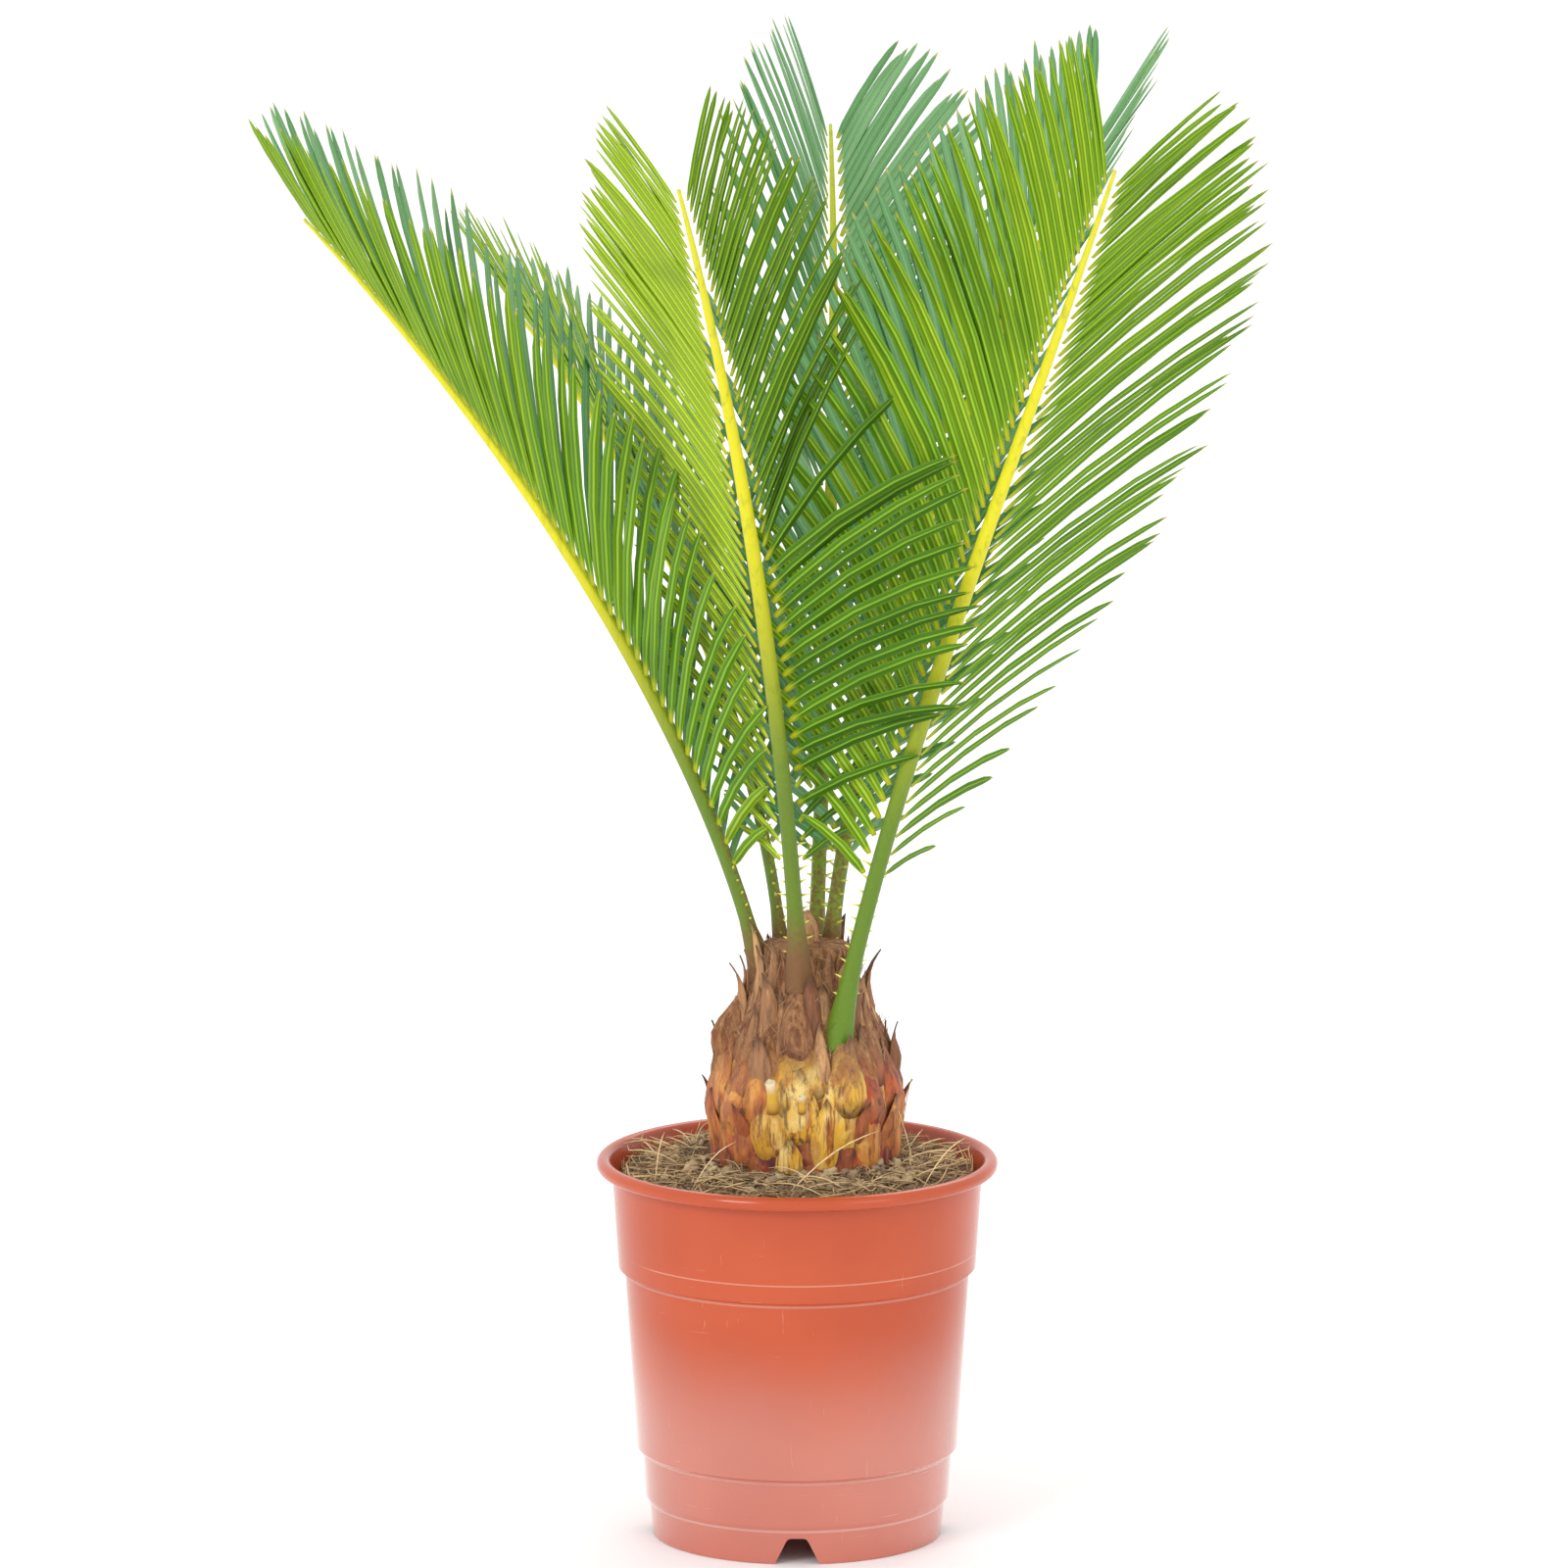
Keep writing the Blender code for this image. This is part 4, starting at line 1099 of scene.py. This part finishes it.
def barkFinish():
    finish = Finish("trunkBark", Roughness=0.6)
    tone, reach, yellow = finish.painted("growth")
    fibre = finish.speckle(0.0026, 5.0, 0.7, (1, 1, 0.16))
    patch = finish.speckle(0.012, 3.0, 0.55, (1, 1, 0.5), 0.6)
    wool = finish.speckle(0.0016, 5.0, 0.75)
    streaks = finish.speckle(0.0050, 4.0, 0.65, (1, 1, 0.13), 0.5)
    blotch = finish.speckle(0.016, 4.0, 0.65, (1, 1, 0.7), 0.4)
    height = finish.add("SeparateXYZ", {}, finish.place(), out=2)
    share = (height - (boxes["caudex"][1].z - trunk["woolDrop"])) * (1 / trunk["woolDrop"])
    woolly = share.band(0.36, 0.64) * (0.55 + wool * 0.8).band(0.55, 1.05)
    red = finish.mix(patch.band(0.38, 0.62), (0.090, 0.014, 0.020), (0.50, 0.080, 0.020))
    orange = finish.mix(patch.band(0.35, 0.65), (0.40, 0.080, 0.016), (0.78, 0.36, 0.070))
    cream = finish.mix(patch.band(0.42, 0.66), (0.78, 0.43, 0.035), (0.88, 0.66, 0.22))
    brown = finish.mix(fibre.band(0.35, 0.7), (0.19, 0.072, 0.030), (0.60, 0.300, 0.135))
    finish.set("Base Color", finish.layers(
        red, ((tone * 0.7 + streaks * 0.6).band(0.50, 0.88), orange),
        ((yellow * 1.2 + streaks * 0.7 - 0.30).band(0.30, 0.62), cream),
        (streaks.band(0.50, 0.57) * yellow * 0.85, (0.34, 0.055, 0.008)),
        (blotch.band(0.50, 0.58) * 0.85 * (1 - yellow * 0.45), (0.40, 0.125, 0.038)),
        (blotch.band(0.62, 0.68) * 0.8, (0.075, 0.030, 0.022)),
        ((1 - blotch.band(0.30, 0.38)) * 0.7, (0.80, 0.55, 0.12)),
        (fibre.band(0.50, 0.66) * 0.75, (0.10, 0.030, 0.014)),
        ((1 - fibre.band(0.34, 0.40)) * 0.35, (0.72, 0.45, 0.16)),
        (reach.band(0.80, 1.0) * 0.75, (0.040, 0.018, 0.012)),
        ((1 - reach.band(0.0, 0.30)) * 0.85, (0.05, 0.018, 0.012)), (woolly, brown)))
    finish.set("Roughness", 0.50 + woolly * 0.4 + fibre * 0.1)
    finish.bump(fibre + wool * 0.8 * woolly + patch * 0.4 + streaks * 0.5, 0.0016, 0.9)
    return finish.material


def readScale(node):  # foot, tip and width of a dry scale, from the frame
    bm = merged(node)
    low = min(vert.co.z for vert in bm.verts)
    tip = max(bm.verts, key=lambda vert: vert.co.z).co.copy()
    foot = [vert.co.copy() for vert in bm.verts if vert.co.z < low + 0.0005]
    bm.free()
    middle = sum(foot, Vector()) / len(foot)
    return middle, tip, max((a - b).length for a in foot for b in foot)


def makeScales():  # long dry scales with turned-out tips
    model = makeBaseModel()
    base = places(model.data)
    centre, soilLine, height, _ = trunkFrame()
    names = sorted(name for name in nodes if name.startswith("scale_"))
    pieces = []
    for name in names:
        foot, tip, width = readScale(name)
        angle, _ = around(centre, foot)
        share = (foot.z - soilLine) / height
        tall = tip.z - foot.z
        flare = around(centre, tip)[1] - trunkRadius(min(1, share + tall / height))
        low = share < trunk["lowScale"]
        pieces.append(pressBase(
            model, base, angle, share, width * (0.75 if low else 1.15), tall * chance.uniform(1.0, 1.12),
            trunk["scaleThick"], chance.uniform(0, 0.5), chance.uniform(-0.10, 0.10), flare + 0.0034))
        paint(pieces[-1].data, "low", (float(low), 0, 0))
    for number in range(trunk["smallScales"]):  # smaller ones between them, up to the crown
        angle = radians(number * trunk["goldenTurn"] + 40)
        share = 0.30 + 0.52 * number / trunk["smallScales"]
        tall = min(chance.uniform(0.022, 0.036), (1.16 - share) * height)
        pieces.append(pressBase(
            model, base, angle, share, chance.uniform(0.006, 0.012), tall, trunk["smallThick"],
            chance.uniform(0.1, 0.9), chance.uniform(-0.25, 0.25), chance.uniform(0.002, 0.007)))
        paint(pieces[-1].data, "low", (0, 0, 0))
    bpy.data.objects.remove(model)
    finish = Finish("dryScale", Roughness=0.75)
    tone, reach, _ = finish.painted("growth")
    low, _, _ = finish.painted("low")
    fibre = finish.speckle(0.0018, 5.0, 0.7, (1, 1, 0.12))
    finish.set("Base Color", finish.layers(
        (0.23, 0.085, 0.034), (tone, (0.68, 0.38, 0.165)), (low * 0.85, (0.42, 0.095, 0.022)),
        (fibre.band(0.42, 0.70) * 0.7, (0.085, 0.035, 0.018)),
        (reach.band(0.72, 0.98) * 0.75, (0.050, 0.025, 0.016)),
        ((1 - fibre.band(0.30, 0.38)) * 0.5, (0.74, 0.46, 0.22))))
    finish.bump(fibre, 0.0008, 0.8)
    finishPiece(joined(pieces, "dryScales"), finish.material, "dry_scale", *names)


budShape = {
    "outline": ((0.85, 0), (1, 0.2), (0.75, 0.55), (0.3, 0.86), (0.05, 1)),  # radius and height, as shares
    "sides": 24, "scales": 11, "rise": 0.04, "width": 0.0085, "thick": 0.0008,
}


def makeBud():  # overlapping pointed scales round a core
    low, high = boxes["crown_bud"]
    centre = (low + high) / 2
    tall = high.z - low.z
    girth = (high.x - low.x) / 2
    outline = [(girth * wide, low.z + rise * tall) for wide, rise in budShape["outline"]]
    core = lathe("crownBud", outline, budShape["sides"], centre[:2])
    paint(core.data, "growth", (0.4, 0.3, 0))
    model = makeBaseModel()
    base = places(model.data)
    pieces = [core]
    for number in range(budShape["scales"]):
        angle = radians(number * trunk["goldenTurn"])
        start = budShape["rise"] * number * tall
        length = tall * chance.uniform(0.75, 0.95) - start * 0.5
        points = np.empty_like(base)
        colours = np.empty_like(base)
        for index, (x, y, z) in enumerate(base):
            radius = girth * (1.05 - 0.85 * y ** 1.6) + z * budShape["thick"]
            turn = angle + x * budShape["width"] / max(radius, 0.002)
            points[index] = (
                centre.x + radius * cos(turn), centre.y + radius * sin(turn), low.z + start + y * length)
            colours[index] = (0.3 + 0.6 * chance.random(), y, 0)
        pieces.append(bent(model, points, colours))
    bpy.data.objects.remove(model)
    finish = Finish("budScale", Roughness=0.7)
    tone, reach, _ = finish.painted("growth")
    fibre = finish.speckle(0.0015, 5.0, 0.7, (1, 1, 0.15))
    finish.set("Base Color", finish.layers(
        (0.30, 0.13, 0.05), (tone, (0.62, 0.34, 0.14)), (fibre.band(0.45, 0.7) * 0.6, (0.16, 0.07, 0.03)),
        (reach.band(0.8, 1) * 0.5, (0.14, 0.05, 0.02))))
    finish.bump(fibre, 0.0006, 0.8)
    finishPiece(joined(pieces, "crownBud"), finish.material, "dry_scale", "crown_bud")


stubShape = {
    "girths": (0.0026, 0.0017), "lean": 0.30, "stretch": 1.15, "tuck": 0.0035, "ragged": 0.0011, "sides": 18,
    "outline": (  # radius and height, as shares of the girth and the length
        (1.0, 0), (0.93, 0.18), (0.80, 0.42), (0.74, 0.66), (0.80, 0.84), (0.86, 0.95), (0.74, 1.0), (0.55, 0.93),
        (0.25, 0.86)),
}


def makeStubs():  # cut leaf stalks with a torn pale top
    finish = Finish("cutStub", Roughness=0.6)
    _, reach, _ = finish.painted("growth")
    fibre = finish.speckle(0.0014, 5.0, 0.7, (1, 1, 0.2))
    finish.set("Base Color", finish.layers(
        (0.72, 0.42, 0.035), (reach.band(0.55, 0.95), (0.84, 0.72, 0.46)),
        ((1 - reach.band(0.0, 0.4)) * 0.7, (0.30, 0.085, 0.02)),
        (fibre.band(0.5, 0.75) * 0.5, (0.38, 0.22, 0.07))))
    finish.bump(fibre, 0.0009, 0.8)
    centre = trunkFrame()[0]
    for number, girth in enumerate(stubShape["girths"], 1):
        node = f"leaf_stub_{number}"
        low, high = boxes[node]
        middle = (low + high) / 2
        outward = Vector((middle.x - centre.x, middle.y - centre.y, 0)).normalized()
        along = (outward * stubShape["lean"] + up).normalized()
        heights = [(vert.co - middle).dot(along) for vert in nodes[node].data.vertices]
        length = (max(heights) - min(heights)) * stubShape["stretch"]
        foot = middle - outward * stubShape["tuck"] + along * min(heights)
        outline = [(girth * wide, length * rise) for wide, rise in stubShape["outline"]]
        stub = lathe(node, outline, stubShape["sides"])
        spots = places(stub.data)
        turn = along.to_track_quat("Z", "Y").to_matrix()
        colours = np.empty_like(spots)
        for index, (x, y, z) in enumerate(spots):
            torn = noise.noise(Vector((x, y, 0)) * 900 + Vector((number, 0, 0)))
            rise = z + (stubShape["ragged"] * torn if z > 0.8 * length else 0)
            swell = 1 + 0.18 * noise.noise(Vector((x * 500, y * 500, z * 200 + number)))
            spots[index] = foot + turn @ Vector((x * swell, y * swell, rise))
            colours[index] = (0.5, z / length, 0)
        movePoints(stub.data, spots)
        paint(stub.data, "growth", colours)
        stub.name = "cutStub" + str(number)
        finishPiece(stub, finish.material, "cut_leaf_base", node)


def makeWool():  # short brown fibres on the upper trunk and round the feet of the stalks
    model = makeThread(3, 3)
    base = places(model.data)
    threads = []
    for number in range(trunk["wool"]):
        share = 0.40 + 0.62 * chance.random() ** 0.8
        angle = chance.uniform(0, tau)
        start = trunkSpot(angle, min(share, 1.0), chance.uniform(0.0005, 0.0022))
        outward = towards(angle)
        aside = up.cross(outward)
        length = trunk["woolLength"] * chance.uniform(0.5, 1.5)
        way = up * chance.uniform(0.2, 1.2) + outward * chance.uniform(-0.05, 0.16)
        way = (way + aside * chance.uniform(-0.8, 0.8)).normalized()
        drift = aside * chance.uniform(-0.4, 0.4) + outward * chance.uniform(-0.05, 0.25)
        path = [start + way * length * t / 3 + drift * length * (t / 3) ** 2 for t in range(4)]
        threads.append(layThread(model, base, path, chance.uniform(0.00008, 0.00017), chance.random()))
    bpy.data.objects.remove(model)
    finish = Finish("trunkWool", Roughness=0.8)
    tone, _, _ = finish.painted("growth")
    finish.set("Base Color", finish.mix(tone, (0.20, 0.090, 0.040), (0.66, 0.44, 0.24)))
    finishPiece(joined(threads, "trunkWool"), finish.material, "caudex_bark")


print("pot")
makePot()
print("soil")
makeSoil()
makeCrumbs()
makeStrands()
print("trunk")
makeBases()
makeScales()
makeBud()
makeStubs()
makeWool()
